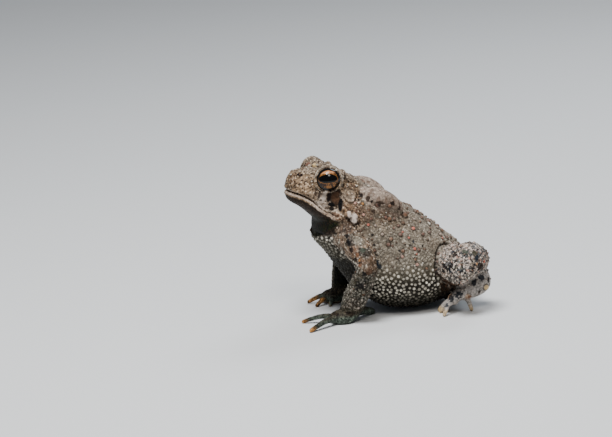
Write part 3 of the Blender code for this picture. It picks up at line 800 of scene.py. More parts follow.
# ---------------- warts and marks
# x, y, z, radius, height and colour of the warts that stand out on the left side
NAMED_WARTS = [
    # Back
    (9.5, 5.4, 28.9, 1.05, 0.8, RUSSET), (4.3, 10.2, 28.1, 1.1, 0.9, RUSSET),
    (6.2, 13.2, 25.6, 0.9, 0.7, RUST), (3.8, 16.6, 23.6, 0.85, 0.7, RUST),
    (4.4, 3.2, 33, 0.9, 0.6, RUSSET), (7.5, 18.5, 20.6, 0.7, 0.5, RUST),
    # Flank and shoulder
    (15.7, 6.3, 20, 0.55, 0.3, RED), (14, 3.4, 25, 0.4, 0.25, RED), (14.6, 5, 23.2, 0.4, 0.25, RED),
    (13.9, 1, 26.5, 0.45, 0.3, RUST), (12.8, -1.1, 29.6, 0.6, 0.4, RUST),
    (13.2, 2.5, 26.8, 0.45, 0.3, RUST), (12, -3, 33.4, 0.7, 0.45, RUST),
    (12.3, 0.5, 32.8, 0.6, 0.4, RUSSET), (13.8, -2.6, 28.7, 0.35, 0.25, BROWN),
    (16.7, 6.5, 15.5, 0.55, 0.3, PINK), (16.1, 6.7, 18.5, 0.35, 0.2, RED),
    (16.5, 2.3, 18.3, 0.5, 0.25, PINK), (15.8, -0.3, 21.7, 0.4, 0.2, RUST),
    (9.7, 16.1, 20.7, 0.5, 0.35, RED),
    # Haunch, knee and heel
    (21.2, 14, 12.6, 0.4, 0.3, CREAM), (22.6, 14.3, 12.4, 0.45, 0.3, CREAM),
    (24, 15, 12.2, 0.45, 0.3, CREAM), (25.1, 16.2, 11.7, 0.4, 0.3, CREAM),
    (25.6, 17.7, 11.5, 0.35, 0.25, CREAM), (25.7, 19.3, 12, 0.4, 0.3, PALE),
    (23.7, 25.4, 15.6, 0.5, 0.35, RED), (25.2, 22.3, 15.6, 0.4, 0.25, ORANGE),
    (17.3, 26.6, 6.4, 0.95, 0.3, OCHRE),
    # Outer side of the arm
    (19.6, -7.6, 11.8, 0.45, 0.35, CREAM), (18.8, -7.8, 9.8, 0.4, 0.3, CREAM),
    (17.9, -8.5, 7.9, 0.45, 0.35, CREAM), (18.6, -9, 5.6, 0.35, 0.25, CREAM),
    (17.8, -10, 4.8, 0.35, 0.25, PALE), (17.5, -11.8, 4.5, 0.45, 0.3, CREAM),
    (18.6, -10.9, 7.2, 0.4, 0.3, CREAM), (18.1, -12, 6.2, 0.3, 0.2, CREAM),
    # Behind the eardrum
    (11.8, -9.6, 34.6, 0.5, 0.3, PINK), (11.9, -7.4, 34.2, 0.5, 0.3, ORANGE),
    (13.4, -7.7, 31.3, 0.5, 0.3, PINK),
]
# x, y, z, radius and colour of the marks that lie flat on the left side
NAMED_MARKS = [
    # Flank
    (14.9, 6.3, 21.9, 0.6, BLUISH), (15.4, 5.1, 21.1, 0.65, DARK), (15.5, 3.6, 21.6, 0.4, DARK),
    (16.1, 1.7, 20, 0.45, DARK), (14.9, 8.9, 20.4, 0.45, DARK), (15.3, -5.4, 22.5, 0.4, DARK),
    (14.9, -5.7, 25.4, 0.35, DARK),
    # Behind the elbow
    (15.5, -5.1, 17.3, 0.8, BLUISH), (15.5, -4.6, 15.9, 0.8, BLUISH),
    # Haunch and knee
    (20, 13.4, 15.4, 1, DARK), (20.2, 13.3, 13.6, 0.9, DARK), (21.6, 13.9, 14.4, 0.9, DARK),
    (22.9, 14.6, 15.3, 1.1, DARK), (23.1, 14.8, 13.9, 0.8, BLUISH), (21.1, 16.9, 17.9, 0.9, DARK),
    (19.1, 16.9, 18.6, 0.8, BLUISH), (22.9, 19.5, 18.8, 0.9, GREEN_GREY), (19.6, 22, 20.5, 0.9, UMBER),
    (24, 21.9, 18.4, 0.9, OLIVE), (24.6, 22.6, 17.3, 0.9, BLUISH), (25.8, 20.6, 14.5, 0.5, DARK),
    (24.4, 24, 14.2, 1.3, UMBER), (22.4, 26, 12.4, 1.1, DARK),
    # Foot
    (18, 17.9, 5.6, 1.2, BLUISH), (18, 15.5, 4.8, 1.1, BLUISH), (19.4, 13.8, 3.2, 0.7, BLUISH),
    (16.9, 23.2, 8.1, 1.1, BLUISH), (16.6, 25.5, 9.5, 0.9, BLUISH), (16.4, 27.6, 8.4, 0.7, DARK),
    (17.9, 21.2, 4.3, 0.5, RUSSET), (17.8, 24.4, 5.2, 0.6, UMBER),
    # Shoulder and arm
    (16.7, -12.6, 22.1, 0.75, DARK), (15.5, -13.1, 24, 0.8, DARK), (14.3, -13.3, 25.9, 0.6, DARK),
    (18.3, -11.3, 20.8, 0.5, RUSSET), (18.9, -11, 19.2, 0.3, ORANGE), (19.2, -11.2, 17.8, 0.5, RUSSET),
    (18, -11.9, 19.7, 0.4, DARK), (18.3, -9.6, 21.8, 0.8, GREEN_GREY), (20.3, -10.1, 15.5, 0.8, DARK),
    (20.5, -8.8, 16.1, 1, BROWN), (19.5, -11.6, 11.9, 1.5, DARK), (19, -10.5, 8.9, 0.5, RUSSET),
    # Along the parotoid gland
    (11.4, -8.3, 35.6, 0.5, DARK), (10.6, -7.2, 36.4, 0.7, DARK), (11, -5.4, 35.2, 0.8, UMBER),
    (11.7, -4.6, 34.6, 0.6, DARK), (12.4, -2.4, 34, 0.9, UMBER), (12.7, -4.5, 31.7, 0.7, UMBER),
    (12.1, 1.4, 33.4, 0.7, DARK), (11, 3.6, 31.4, 0.6, UMBER),
]
# x, y, z, radius, colour and strength of the broad tints on the left side
WASHES = [
    # Neck and snout
    (13.1, -10.6, 31.5, 5, WARM_BROWN, 0.7), (13.4, -6.8, 31.2, 4, BROWN, 0.5),
    (13.1, -12.9, 28, 3.4, BROWN, 0.6), (12.4, -12.8, 28.7, 2.2, UMBER, 0.5),
    (3.5, -27.1, 39.6, 1.8, UMBER, 0.5), (3.3, -26, 42.4, 2.4, BROWN, 0.55),
    # Foot and flank
    (17.3, 15.4, 5, 1.3, ORANGE, 0.7), (17.6, 20.6, 4.6, 1.2, ORANGE, 0.6),
    (12, 0.5, 31.5, 5, BROWN, 0.45),
    # Shoulder and arm
    (16.6, -10.4, 24.2, 2.4, PALE_OLIVE, 0.7), (17.3, -11.9, 22, 2.2, RUSSET, 0.6),
    (18.9, -11.2, 19, 1.6, RUSSET, 0.6), (17.2, -12.4, 18.7, 2.4, BROWN, 0.6),
    (19.7, -7.7, 18.6, 3, BROWN, 0.5), (16.5, -13, 5.5, 3.6, BROWN, 0.6),
    # Haunch
    (25, 18, 16.6, 3.6, GREEN_GREY, 0.55), (22.4, 23.3, 19.2, 3.4, BLUE_GREY, 0.5),
    (24.2, 15.2, 12.1, 2.6, PINK_PALE, 0.4),
]
# x, y, z, radius and colour of the marks on top of the right eyelid
RIGHT_LID_MARKS = [
    (-4.2, -19.4, 44.1, 0.8, RUST), (-4.9, -20.2, 43.6, 0.45, DARK), (-3.7, -18.9, 43.4, 0.4, DARK),
    (-2.8, -17.6, 44.1, 0.8, OCHRE),
]
# Forward, up, half length, half height, colour and strength of the marks on each side of the face
FACE_MARKS = [
    # Below the eye
    (13.2, 1.4, 0.4, 1.5, DARK, 0.75), (14.5, 1.4, 0.35, 0.8, UMBER, 0.6),
    (11.9, 1.4, 0.6, 1.8, CREAM, 0.85), (8.9, 1.3, 2, 2.4, UMBER, 0.9), (8.7, 1.5, 1.2, 1.7, BROWN, 0.95),
    (10.6, 1.5, 0.55, 1.8, DARK, 1), (9.5, -0.6, 0.9, 0.7, DARK, 1), (9, -1.9, 0.7, 0.6, DARK, 0.9),
    (7.1, -0.2, 0.55, 1.9, DARK, 1), (10.7, -1.5, 0.9, 0.45, CREAM, 0.8),
    (12.3, -0.6, 0.9, 0.5, CREAM, 0.75), (7.6, -3.2, 1.4, 0.7, RUSSET, 0.6),
    (8.8, 3.6, 1.6, 0.4, UMBER, 0.7),
    # Snout
    (18.6, 6, 0.75, 0.45, DARK, 1), (19.6, 2.4, 0.4, 0.4, UMBER, 0.8),
    # Behind the eye, round the eardrum and the corner of the mouth
    (7, 5.4, 0.35, 0.5, DARK, 0.8), (6.6, 7.5, 0.45, 0.6, DARK, 0.8), (2.9, 5.3, 1, 0.35, UMBER, 0.8),
    (1.7, 4.1, 0.45, 0.6, DARK, 0.9), (2.4, -4.4, 2.4, 0.5, UMBER, 0.85),
    (4.5, -2.4, 0.7, 0.9, PINK_PALE, 0.9), (3.1, -3.2, 0.8, 1.5, PINK_PALE, 0.9),
]
# Depth and height along the lower edge of the grainy skin of the haunch
HAUNCH_EDGE = ((12.0, 13.2, 14.0, 16.7, 18.2), (12.6, 11.5, 10.6, 9.0, 9.6))
# Paths over the left side that a fold follows
HAUNCH_CREASE = [(9.9, 17.9, 18.9), (11.4, 16.0, 19.3), (12.8, 14.5, 19.2), (14.6, 13.0, 17.5),
                 (15.7, 12.3, 14.8), (15.9, 12.2, 11.9), (15.6, 12.0, 8.9)]
KNEE_CREASE = [(22.1, 17.1, 9.6), (24.6, 19.4, 10.9), (25.0, 21.6, 12.2),
               (24.5, 23.0, 13.0), (24.2, 24.6, 14.4)]
ARM_FOLD = [(13.6, -13.8, 20.4), (16.5, -12.8, 19.1), (18.7, -11.6, 17.7), (18.8, -11.8, 15.6)]
GULAR_FOLD = [(3.0, -18.7, 25.0), (8.1, -17.0, 25.6), (11.0, -15.4, 26.0), (13.6, -12.0, 27.2)]


def skin_spot(side, place):
    """The skin nearest to a place given for the left side."""
    return np.array(bare_skin.find_nearest(Vector((side * place[0], *place[1:3])))[0])


def on_both_sides(marks):
    """Each mark of the left side there and on the right: its spot on the skin, then its other values."""
    for side in SIDES.values():
        for x, y, z, *values in marks:
            yield skin_spot(side, (x, y, z)), *values


def away_from(path, reach):
    """Distance of each point from a path drawn over both sides of the skin, up to a reach."""
    nearest = np.full(len(points), reach * 2.0)
    for side in SIDES.values():
        spots = [skin_spot(side, row) for row in smooth_rows(path, 8)]
        low = np.min(spots, axis=0) - reach
        high = np.max(spots, axis=0) + reach
        inside = np.nonzero(np.all((points > low) & (points < high), axis=1))[0]
        nearest[inside] = np.minimum(nearest[inside], nearest_of(spots, points[inside])[1])
    return nearest


TRIES = 8


def strewn(spacing, count, wanted, seed):
    """Points of the skin picked at random, more often where wanted is high and never close together."""
    chance = np.random.default_rng(seed)
    weight = wanted / wanted.sum()
    picked = []
    for index in chance.choice(len(points), count * TRIES, p=weight):
        if len(picked) == count:
            break
        if not picked or np.min(np.sum((points[picked] - points[index]) ** 2, axis=1)) > spacing**2:
            picked.append(index)
    return picked, chance


smooth_gland = np.zeros(len(points))
for side in SIDES.values():
    for gx, gy, gz, reach in PAROTOID:
        far = distance(points, (side * gx, gy, gz))
        smooth_gland = np.maximum(smooth_gland, ramp(reach + 1.3, reach + 0.4, far))
smooth_gland *= torso

back = torso * ramp(-0.1, 0.4, skyward) * (1 - smooth_gland)
flank = torso * ramp(-0.35, 0, skyward) * ramp(9, 13, z) * (1 - smooth_gland)
leg_top = (leg + foot * 0.5) * ramp(-0.4, 0.1, skyward) * ramp(6, 9, z)
outer_arm = arms * ramp(7, 12, z)
crown = head * ramp(0.2, 0.6, skyward) * ramp(3, 5, up)
hind_cheek = head * ramp(7, 4, forward) * ramp(-5, -2, up) * (up < 6)
WART_TONES = (RUST, PALE, BROWN, RUSSET, PINK_TAN, RED)
# How often each of these tones is picked
REDDISH = (0.24, 0.06, 0.3, 0.22, 0.16, 0.02)
DULL = (0.08, 0.2, 0.36, 0.08, 0.27, 0.01)


def strewn_warts():
    """Small warts at random. Height is given as a share of the radius."""
    # Where, spacing, number, radii, height, tones and seed
    for wanted, spacing, count, sizes, share, tones, seed in (
        (back, 1.7, 140, (0.3, 0.7), 0.95, REDDISH, 21),
        (flank, 1.7, 60, (0.18, 0.36), 0.5, DULL, 22),
        (leg_top, 1.2, 200, (0.18, 0.42), 1.0, DULL, 23),
        (outer_arm, 1.2, 90, (0.18, 0.38), 0.5, DULL, 24),
        (crown, 0.9, 130, (0.16, 0.34), 0.7, DULL, 25),
        (hind_cheek, 0.9, 70, (0.18, 0.36), 0.6, REDDISH, 26),
    ):
        picked, chance = strewn(spacing, count, wanted + 1e-9, seed)
        for index in picked:
            radius = chance.uniform(*sizes)
            shade = WART_TONES[chance.choice(len(WART_TONES), p=tones)]
            yield points[index], radius, radius * share, shade


def wart_relief(warts):
    """Height over the skin, share of tip and of the ring round it that carries painted shade, and colour,
    for each point.
    """
    raised, tips, rings = np.zeros((3, len(points)))
    colour = np.zeros((len(points), 3))
    for spot, radius, lift, shade in warts:
        near = np.nonzero(np.all(np.abs(points - spot) < radius * 2, axis=1))[0]
        far = distance(points[near], spot) / radius
        dome = np.sqrt(np.clip(1 - far**2, 0, 1)) * ramp(1.15, 0.75, far)
        tip = ramp(0.95, 0.6, far)
        raised[near] = np.maximum(raised[near], lift * dome)
        colour[near] = np.where((tip > tips[near])[:, None], shade, colour[near])
        tips[near] = np.maximum(tips[near], tip)
        rings[near] = np.maximum(rings[near], ramp(0.7, 1.0, far) * ramp(1.5, 1.1, far))
    return raised, tips, rings, colour


warts = itertools.chain(on_both_sides(NAMED_WARTS), strewn_warts())
height, wart_tip, wart_base_shade, wart_colour = wart_relief(warts)

# ---------------- granules and folds
coarse, coarse_next, coarse_value = cellular(points, 0.86, SEED)
fine, fine_next, fine_value = cellular(points, 0.46, SEED + 10)
# Belly and chest have large round granules in place of the coarse cells
big = np.maximum(torso * ramp(19, 13, z), 0.9 * chest)
ROUND_SPACING = 1.0
ROUND_COUNT = 2200


def round_granules():
    """Distance of each point from its round granule, in radii, and a value for the granule."""
    picked, chance = strewn(ROUND_SPACING, ROUND_COUNT, big * (big > 0.05) + 1e-12, 27)
    size = chance.uniform(0.38, 0.54, len(points))
    value = chance.uniform(0, 1, len(points))
    near = np.nonzero(big > 0.02)[0]
    which, far = nearest_of(points[picked], points[near])
    centre = np.array(picked)[which]
    round_far = np.full(len(points), 9.0)
    round_value = np.zeros(len(points))
    round_far[near] = far / size[centre]
    round_value[near] = value[centre]
    return round_far, round_value


round_far, round_value = round_granules()
coarse_dome = np.sqrt(ramp(0.0, 0.55, coarse_next - coarse))
granule_value = np.where(big > 0.5, round_value, coarse_value)
granule_dome = coarse_dome * (1 - big) + np.sqrt(np.clip(1 - round_far**2, 0, 1)) * big
fine_dome = ramp(0.0, 0.6, fine_next - fine)
granular = np.clip(belly * 1.2 + chest + flank * 0.45 + leg * 0.6 + arms * 0.35 * (1 - hand), 0, 1)
granular *= 1 - smooth_gland
grain = np.clip(0.08 * torso + 0.09 * leg + 0.08 * arms + 0.05 * foot, 0, 0.1)
grain = grain * (1 - 0.8 * smooth_gland) + 0.05 * head
folds = fractal(points * (1, 1, 1.6), 5.0, 31) * 0.2 * torso
folds += fractal(points, 2.2, 41) * 0.1 * (torso + limb)
wrinkles = noise(points * (1, 1, 2.4), 1.1, 45) * arms * ramp(16, 12, z) * ramp(3, 6, z)

arm_fold = away_from(ARM_FOLD, 1.2)
creased = bell(away_from(HAUNCH_CREASE, 1.6), 0.35) * ramp(4, 9, z)
creased += bell(away_from(KNEE_CREASE, 1.4), 0.35) + 0.6 * bell(away_from(GULAR_FOLD, 1.8), 0.5)
creased = np.clip(creased, 0, 1)

# ---------------- relief of the skin
EYE_GAP = 0.12
SOCKET_DEPTH = 0.35
BRIM_HEIGHT = 0.3

height += granular * (granule_dome - 0.5) * 0.34 * (0.7 + 0.6 * granule_value)
height += grain * (fine_dome - 0.5) * 1.3
height += folds * (1 - 0.5 * smooth_gland) * ramp(0.6, 2.5, z) + 0.12 * wrinkles
height *= 1 - 0.7 * digits
height += -0.55 * creased + 0.25 * bell(arm_fold, 0.35)
height += near_mouth * (-0.34 * groove + 0.10 * lip + 0.08 * upper_lip)
height += -0.5 * bell(nostril, 0.32) + 0.1 * bell(nostril - 0.55, 0.2)
height += 0.05 * bell(eardrum - 1, 0.16) - 0.12 * ramp(1.0, 0.7, eardrum)
lid_side, lid_forward, lid_up = LID_DIP
dip = bell(side_x - lid_side, 2.2) * bell(forward - lid_forward, 1.8)
height -= 0.9 * dip * ramp(lid_up - 1.5, lid_up, up)
lid_edge = np.zeros(len(points))
lid_crease = np.zeros(len(points))
for _, far, opening, rising in lids:
    near = (far < 6.0) & (opening < 2.4)
    upper = ramp(-0.6, 0.8, rising)
    edge = near * bell(opening - 1.1, 0.05)
    crease = near * bell(opening - 1.27, 0.05) * (1 - 0.4 * upper)
    second = near * bell(opening - 1.42, 0.07)
    height += 0.07 * edge - 0.10 * crease + 0.10 * second * (1 - upper)
    lid_edge = np.maximum(lid_edge, edge)
    lid_crease = np.maximum(lid_crease, crease)
points = points + outward * height[:, None]


def round_eyeball(points, centre, opening):
    """Sinks the socket behind the eyeball, and brings the lids up to it with a thin gap."""
    ray = points - centre
    far = np.linalg.norm(ray, axis=1)
    inside = ramp(1.04, 0.94, opening) * (far < 6)
    sunk = np.minimum(far, EYE_RADIUS - SOCKET_DEPTH)
    brim = EYE_RADIUS + EYE_GAP
    lid_far = np.clip(far, brim, brim + BRIM_HEIGHT + 4 * np.clip(opening - 1.08, 0, 1))
    outside = np.where(far < 7, far + (lid_far - far) * ramp(1.3, 1.15, opening), far)
    wished = outside * (1 - inside) + sunk * inside
    return centre + ray * (wished / np.maximum(far, 0.01))[:, None]


for centre, _, opening, _ in lids:
    points = round_eyeball(points, centre, opening)
points[:, 2] = np.maximum(points[:, 2], 0.0)
mesh.vertices.foreach_set("co", points.ravel())
mesh.update()

# ---------------- patterns of the colours
ragged = fractal(points, 1.3, 51)
frayed = fractal(points, 0.8, 55)
blotch = fractal(points, 3.4, 61)
broad = fractal(points, 9.0, 71)
stained = fractal(points, 1.7, 67)
speckle = noise(points, 0.4, 81)
streaks = noise(points * (1, 1, 0.22), 0.7, 85)
striped = ramp(-0.4, 0.3, noise(points * (1.6, 1.6, 0.4), 0.9, 87))
footed = ramp(0.12, 0.25, fractal(points, 1.9, 65) + 0.25 * ragged)
freckle, _, freckle_value = cellular(points, 0.8, SEED + 20)
gaps = ramp(0.2, 0.04, coarse_next - coarse) * (1 - big) + big * ramp(0.85, 1.1, round_far)
caps = ramp(0.1, 0.34, coarse_next - coarse) * (1 - big) + big * ramp(1.0, 0.7, round_far)
fine_gaps = ramp(0.25, 0.02, fine_next - fine)

# ---------------- regions of the colours
arm = arms * (1 - hand)
# Painted shade over the chest and belly between the arms, which also holds back the pale granules there
shade_between_arms = torso * ramp(21, 16, z) * ramp(-7, -11, y)
# Inner sides of the arms, facing the body, where painted shade darkens the skin
shaded_inner_arm = arms * ramp(0.0, -0.5, outward[:, 0] * np.sign(x)) * ramp(2.5, 5, z)
shoulder_brown = torso * ramp(9, -1, y) * ramp(24, 29, z) * (1 - 0.85 * smooth_gland)
patched = ramp(0.25, 0.4, blotch + 0.4 * ragged) * (1 - belly)
# Underside of the jaw and the jaw's side below the lip: dark throat skin of their own, deepened with
# painted shade
beside_lip = head * ramp(1.2, 1.6, below_lip) * ramp(5, 8, forward)
under_jaw = np.maximum(throat * ramp(-1.2, -2.4, up), beside_lip)
chest_top = 23.4 + 0.036 * x**2
# The vocal pouch under the chin: dark skin of its own, deepened with painted shade under the jaw
pouch = trunk * ramp(-12.5, -14, y) * ramp(-0.3, 0.5, z - chest_top) * ramp(-4.6, -5.6, up)
# Groin and the underside of the thigh below the haunch's grainy edge: brown skin of their own, darkened
# with painted shade under the haunch
groin = torso * ramp(12.6, 14.0, y) * ramp(13, 10, z) * (np.abs(x) > 4)
groin = np.maximum(groin, leg * ramp(0.5, -0.2, z - np.interp(y, *HAUNCH_EDGE)) * (y < 18))
bare = np.clip(groin + pouch + under_jaw + shaded_inner_arm, 0, 1)
pebbled = np.clip(granular * 1.3, 0, 1) * (1 - bare) * (1 - 0.6 * leg)
speckled = np.clip(0.2 + 0.8 * ramp(20, 9, z) + 0.8 * chest, 0, 1) * (1 - 0.85 * shade_between_arms)
# The belly's bottom next to the floor, where painted shade darkens the skin and holds back the pale
# granules
belly_bottom_shade = torso * ramp(8, 3, z)
low_chest = chest * (0.25 + 0.75 * ramp(21, 17, z)) * (1 - bare)
# Painted shade down the middle of the chest below the throat
breast_shade = chest * ramp(9.5, 7, np.abs(x)) * ramp(24.5, 22.5, z)
plain = (1 - 0.8 * pebbled) * (1 - 0.6 * foot) * (1 - 0.6 * smooth_gland)
calm = (1 - hand) * (1 - bare) * (1 - 0.5 * head) * plain
patchwork = (leg + 0.2 * foot + 0.12 * arm) * (1 - bare)
freckled = ramp(0.48, 0.32, freckle) * (freckle_value > 0.45)
freckled *= head + torso * plain * 0.5 * (1 - 0.6 * smooth_gland)
front_lip = ramp(8, 13, forward)
# Painted shadow along the chin below the lower lip
shadow_below_lower_lip = near_mouth * bell(mouth_off - 1.55, 0.2) * (mouth_above < 0)


def wash_layers():
    for spot, radius, shade, strength in on_both_sides(WASHES):
        yield shade, ramp(1.1, 0.4, distance(points, spot) / radius + 0.25 * ragged) * strength


def add_named_marks(colour):
    """Lays the marks of both sides over the colour, each within its own reach."""
    for spot, radius, shade in on_both_sides(NAMED_MARKS):
        near = np.nonzero(np.all(np.abs(points - spot) < radius * 2.2, axis=1))[0]
        far = distance(points[near], spot) / radius + 0.7 * frayed[near] + 0.3 * speckle[near]
        share = ramp(1.15, 0.75, far) * (0.85 + 0.12 * fine_dome[near])
        colour[near] = layered(colour[near], [(shade, share)])


def face_layers():
    for f, u, long, tall, shade, strength in FACE_MARKS:
        far = np.hypot((forward - f) / long, (up - u) / tall) + ragged * 0.45
        yield shade, ramp(1.2, 0.8, far) * head * (np.abs(side_x) > 3) * strength


def right_lid_layers():
    for *place, radius, shade in RIGHT_LID_MARKS:
        far = distance(points, skin_spot(1, place)) / radius + 0.5 * frayed
        yield shade, ramp(1.2, 0.8, far) * 0.85


# ---------------- colours of the skin
colour = layered(np.tile(np.array(GREY_BROWN), (len(points), 1)), [
    (WARM_BROWN, ramp(-0.1, 0.5, broad + 0.3 * blotch) * 0.5),
    (WARM_BROWN, shoulder_brown * (0.75 + 0.4 * blotch)),
    (UMBER, shoulder_brown * ramp(-0.05, 0.3, ragged + 0.4 * blotch) * 0.85),
    (PINK_TAN, smooth_gland * (0.65 + 0.3 * streaks)),
    (BROWN, smooth_gland * ramp(0.1, 0.6, streaks) * 0.6),
    # Head
    (TAN, head * 0.95),
    (GREY_BROWN, head * ramp(5.5, 7.5, up) * 0.7),
    (CREAM, head * ramp(4, 1, up) * ramp(17, 12, forward) * (0.3 + 0.5 * ragged)),
    # Limbs
    (WARM_BROWN, arm * ramp(-0.3, 0.2, blotch) * 0.75),
    (TAN, arm * ramp(0.1, 0.5, -blotch + 0.3 * ragged) * 0.5),
    (RUSSET, arm * ramp(0.25, 0.5, ragged - 0.3 * blotch) * 0.8),
    (OLIVE, arms * ramp(17, 13, z) * ramp(-0.9, -0.2, ragged) * 0.9),
    (PINK_TAN, leg * (0.35 + 0.3 * ragged)),
    (FOOT_GREY, foot * 0.9),
    (GREEN_GREY, (leg + arm) * ramp(0.05, 0.3, blotch) * 0.5),
    # Flanks, belly and chest
    (PALE_OLIVE, torso * np.maximum(belly, flank * 0.6) * 0.7),
    (PINK_PALE, chest * (0.35 + 0.5 * ragged) * (1 - shade_between_arms)),
])
colour = layered(colour, wash_layers())
colour = layered(colour, [
    (DARK, patched * (torso * 0.3 + leg * 0.4 + arm * 0.7)),
    (BLUISH, footed * (foot * 0.35 + hand * 0.35)),
    # Hands
    # Painted shade on the inner sides of the arms
    (POUCH_AND_SHADE_GREEN, shaded_inner_arm * 0.95),
    (GREEN_GREY, hand * 0.85),
    (FINGER_GREY, hand * digits * ramp(2.5, 4, from_tip) * 0.6),
    (BROWN, hand * ramp(1.6, 3.0, z) * (0.5 + 0.5 * wrinkles) * 0.7),
    (UMBER, hand * ramp(0.0, 0.3, ragged) * ramp(1.2, 2.4, z) * 0.8),
])
colour *= (1 - 0.2 * hand)[:, None]
colour = layered(colour, [
    (ORANGE, tipped * arms * (0.65 + 0.5 * ragged)),
    (OCHRE, tipped * foot * (0.7 + 0.5 * ragged)),
    # Bare skin of throat, groin and armpits: dark skin of their own on throat and groin, deepened with
    # painted shade where they face down or lie under the body; between the arms painted shade alone
    (THROAT_AND_SHADE_BROWN, under_jaw * (0.97 + 0.1 * ragged)),
    (POUCH_AND_SHADE_GREEN, pouch * 0.97),
    (STRIATED, groin * 0.95),
    (RUSSET, groin * striped * 0.22),
    # Painted shade between the arms
    (POUCH_AND_SHADE_GREEN, shade_between_arms * 0.7),
    # Granules of belly and chest, pale on dark
    (OLIVE, pebbled * speckled * (1 - caps) * 0.8),
    (DARK, pebbled * speckled * gaps * np.maximum(0.9 * ramp(15, 8, z), 0.65 * chest) * 0.9),
    (DARK, low_chest * ramp(0.08, 0.25, stained) * 0.65),
    # Painted shade where the lower chest faces down
    (OLIVE, low_chest * ramp(-0.2, -0.7, skyward) * 0.6),
    (PALE, pebbled * speckled * caps * (0.45 + 0.55 * granule_value) * (1 - 0.8 * belly_bottom_shade) * 0.9),
    # Painted shade at the bottom of the belly
    (OLIVE, belly_bottom_shade * (1 - 0.6 * caps) * 0.7),
    (PALE, chest * pebbled * caps * (1 - shade_between_arms) * (0.5 + 0.5 * coarse_value)),
    (DARK, chest * pebbled * gaps * 0.35),
    (OLIVE, breast_shade * (0.75 + 0.4 * ragged)),
    # Fine grains of the rest
    (PALE, ramp(0.7, 0.9, fine_value) * fine_dome * 0.55 * calm),
    (DARK, ramp(0.3, 0.12, fine_value) * ramp(0.1, 0.5, fine_dome) * 0.65 * plain),
    (BLUISH, patchwork * (fine_value < 0.2) * 0.8),
    (BLUE_GREY, patchwork * (fine_value > 0.2) * (fine_value < 0.45) * 0.6),
    (PINK_PALE, patchwork * (fine_value > 0.74) * 0.65),
    (PINK, patchwork * (fine_value > 0.56) * (fine_value < 0.61) * 0.6),
])
colour *= (1 - 0.5 * fine_gaps * plain)[:, None]
colour *= np.exp(0.5 * (granule_value - 0.5) * pebbled + 1.2 * (fine_value - 0.55) * plain)[:, None]
colour = layered(colour, [
    (UMBER, freckled * 0.9),
    # Lips and nostrils
    (RUSSET, lip * (1 - front_lip) * 0.5),
    (PINK_TAN, lip * front_lip * (0.8 + 0.25 * ragged)),
    (CREAM, lip * front_lip * ramp(0.0, 0.5, speckle) * 0.35),
    # Painted shadow below the lower lip
    (UMBER, shadow_below_lower_lip * 0.7),
    # Painted shade in the slit of the mouth
    (DARK, near_mouth * groove * 0.95),
    (CREAM, upper_lip * ramp(8.5, 10.5, forward) * (0.3 + 0.3 * ramp(16, 13, forward))),
    # Painted shade inside the nostrils
    (DARK, ramp(0.5, 0.3, nostril) * 0.95),
])
colour = layered(colour, face_layers())
colour = layered(colour, [
    # Eardrums, lids, folds and warts
    (UMBER, bell(eardrum - 1.12, 0.12) * 0.55),
    (GREY_BROWN, ramp(1.0, 0.8, eardrum) * 0.5),
    (PALE, lid_edge * (0.25 + 0.4 * speckle)),
    # Painted shade in the crease round each lid and in the folds of the skin
    (UMBER, lid_crease * (0.5 + 0.4 * ragged)),
    (DARK, creased * 0.85),
    (PALE, bell(arm_fold, 0.25) * ramp(0.3, 0.7, fine_value) * 0.6),
    # Painted shade in a ring round the base of each wart
    (UMBER, wart_base_shade * 0.7),
    (wart_colour, wart_tip * 0.8),
])
add_named_marks(colour)
colour = layered(colour, right_lid_layers())
colour *= np.exp(0.3 * speckle + 0.2 * ragged)[:, None]
# Painted shade: the colour darkens toward the floor under the belly, in the groin, between the arms and
# down the lower arms, where the body shades itself
painted_shade = torso * ramp(8.5, 2.5, z) * 1.2 + groin * 0.2 + shade_between_arms * 0.95 + 0.5 * arm * ramp(19, 14, z)
colour *= (1 - 0.75 * np.clip(painted_shade, 0, 1))[:, None]
store(mesh, "Skin", np.clip(colour, 0.004, 0.9))
store(mesh, "Wet", np.clip(0.35 * pebbled * granule_dome + 0.3 * wart_tip + 0.3 * fine_dome, 0, 1))


# ---------------- materials
FLOOR_COLOUR = (0.68, 0.68, 0.67, 1)


def new_material(name):
    """A material, its node tree and its surface shader."""
    material = bpy.data.materials.new(name)
    material.use_nodes = True
    return material, material.node_tree, material.node_tree.nodes["Principled BSDF"]


def add_node(tree, kind, **settings):
    node = tree.nodes.new(kind)
    for name, value in settings.items():
        if name in node.inputs:
            node.inputs[name].default_value = value
        else:
            setattr(node, name, value)
    return node


def spread(tree, source, low, high):
    """A number from 0 to 1, spread from low to high."""
    node = add_node(tree, "ShaderNodeMapRange", **{"To Min": low, "To Max": high})
    tree.links.new(source, node.inputs["Value"])
    return node.outputs["Result"]


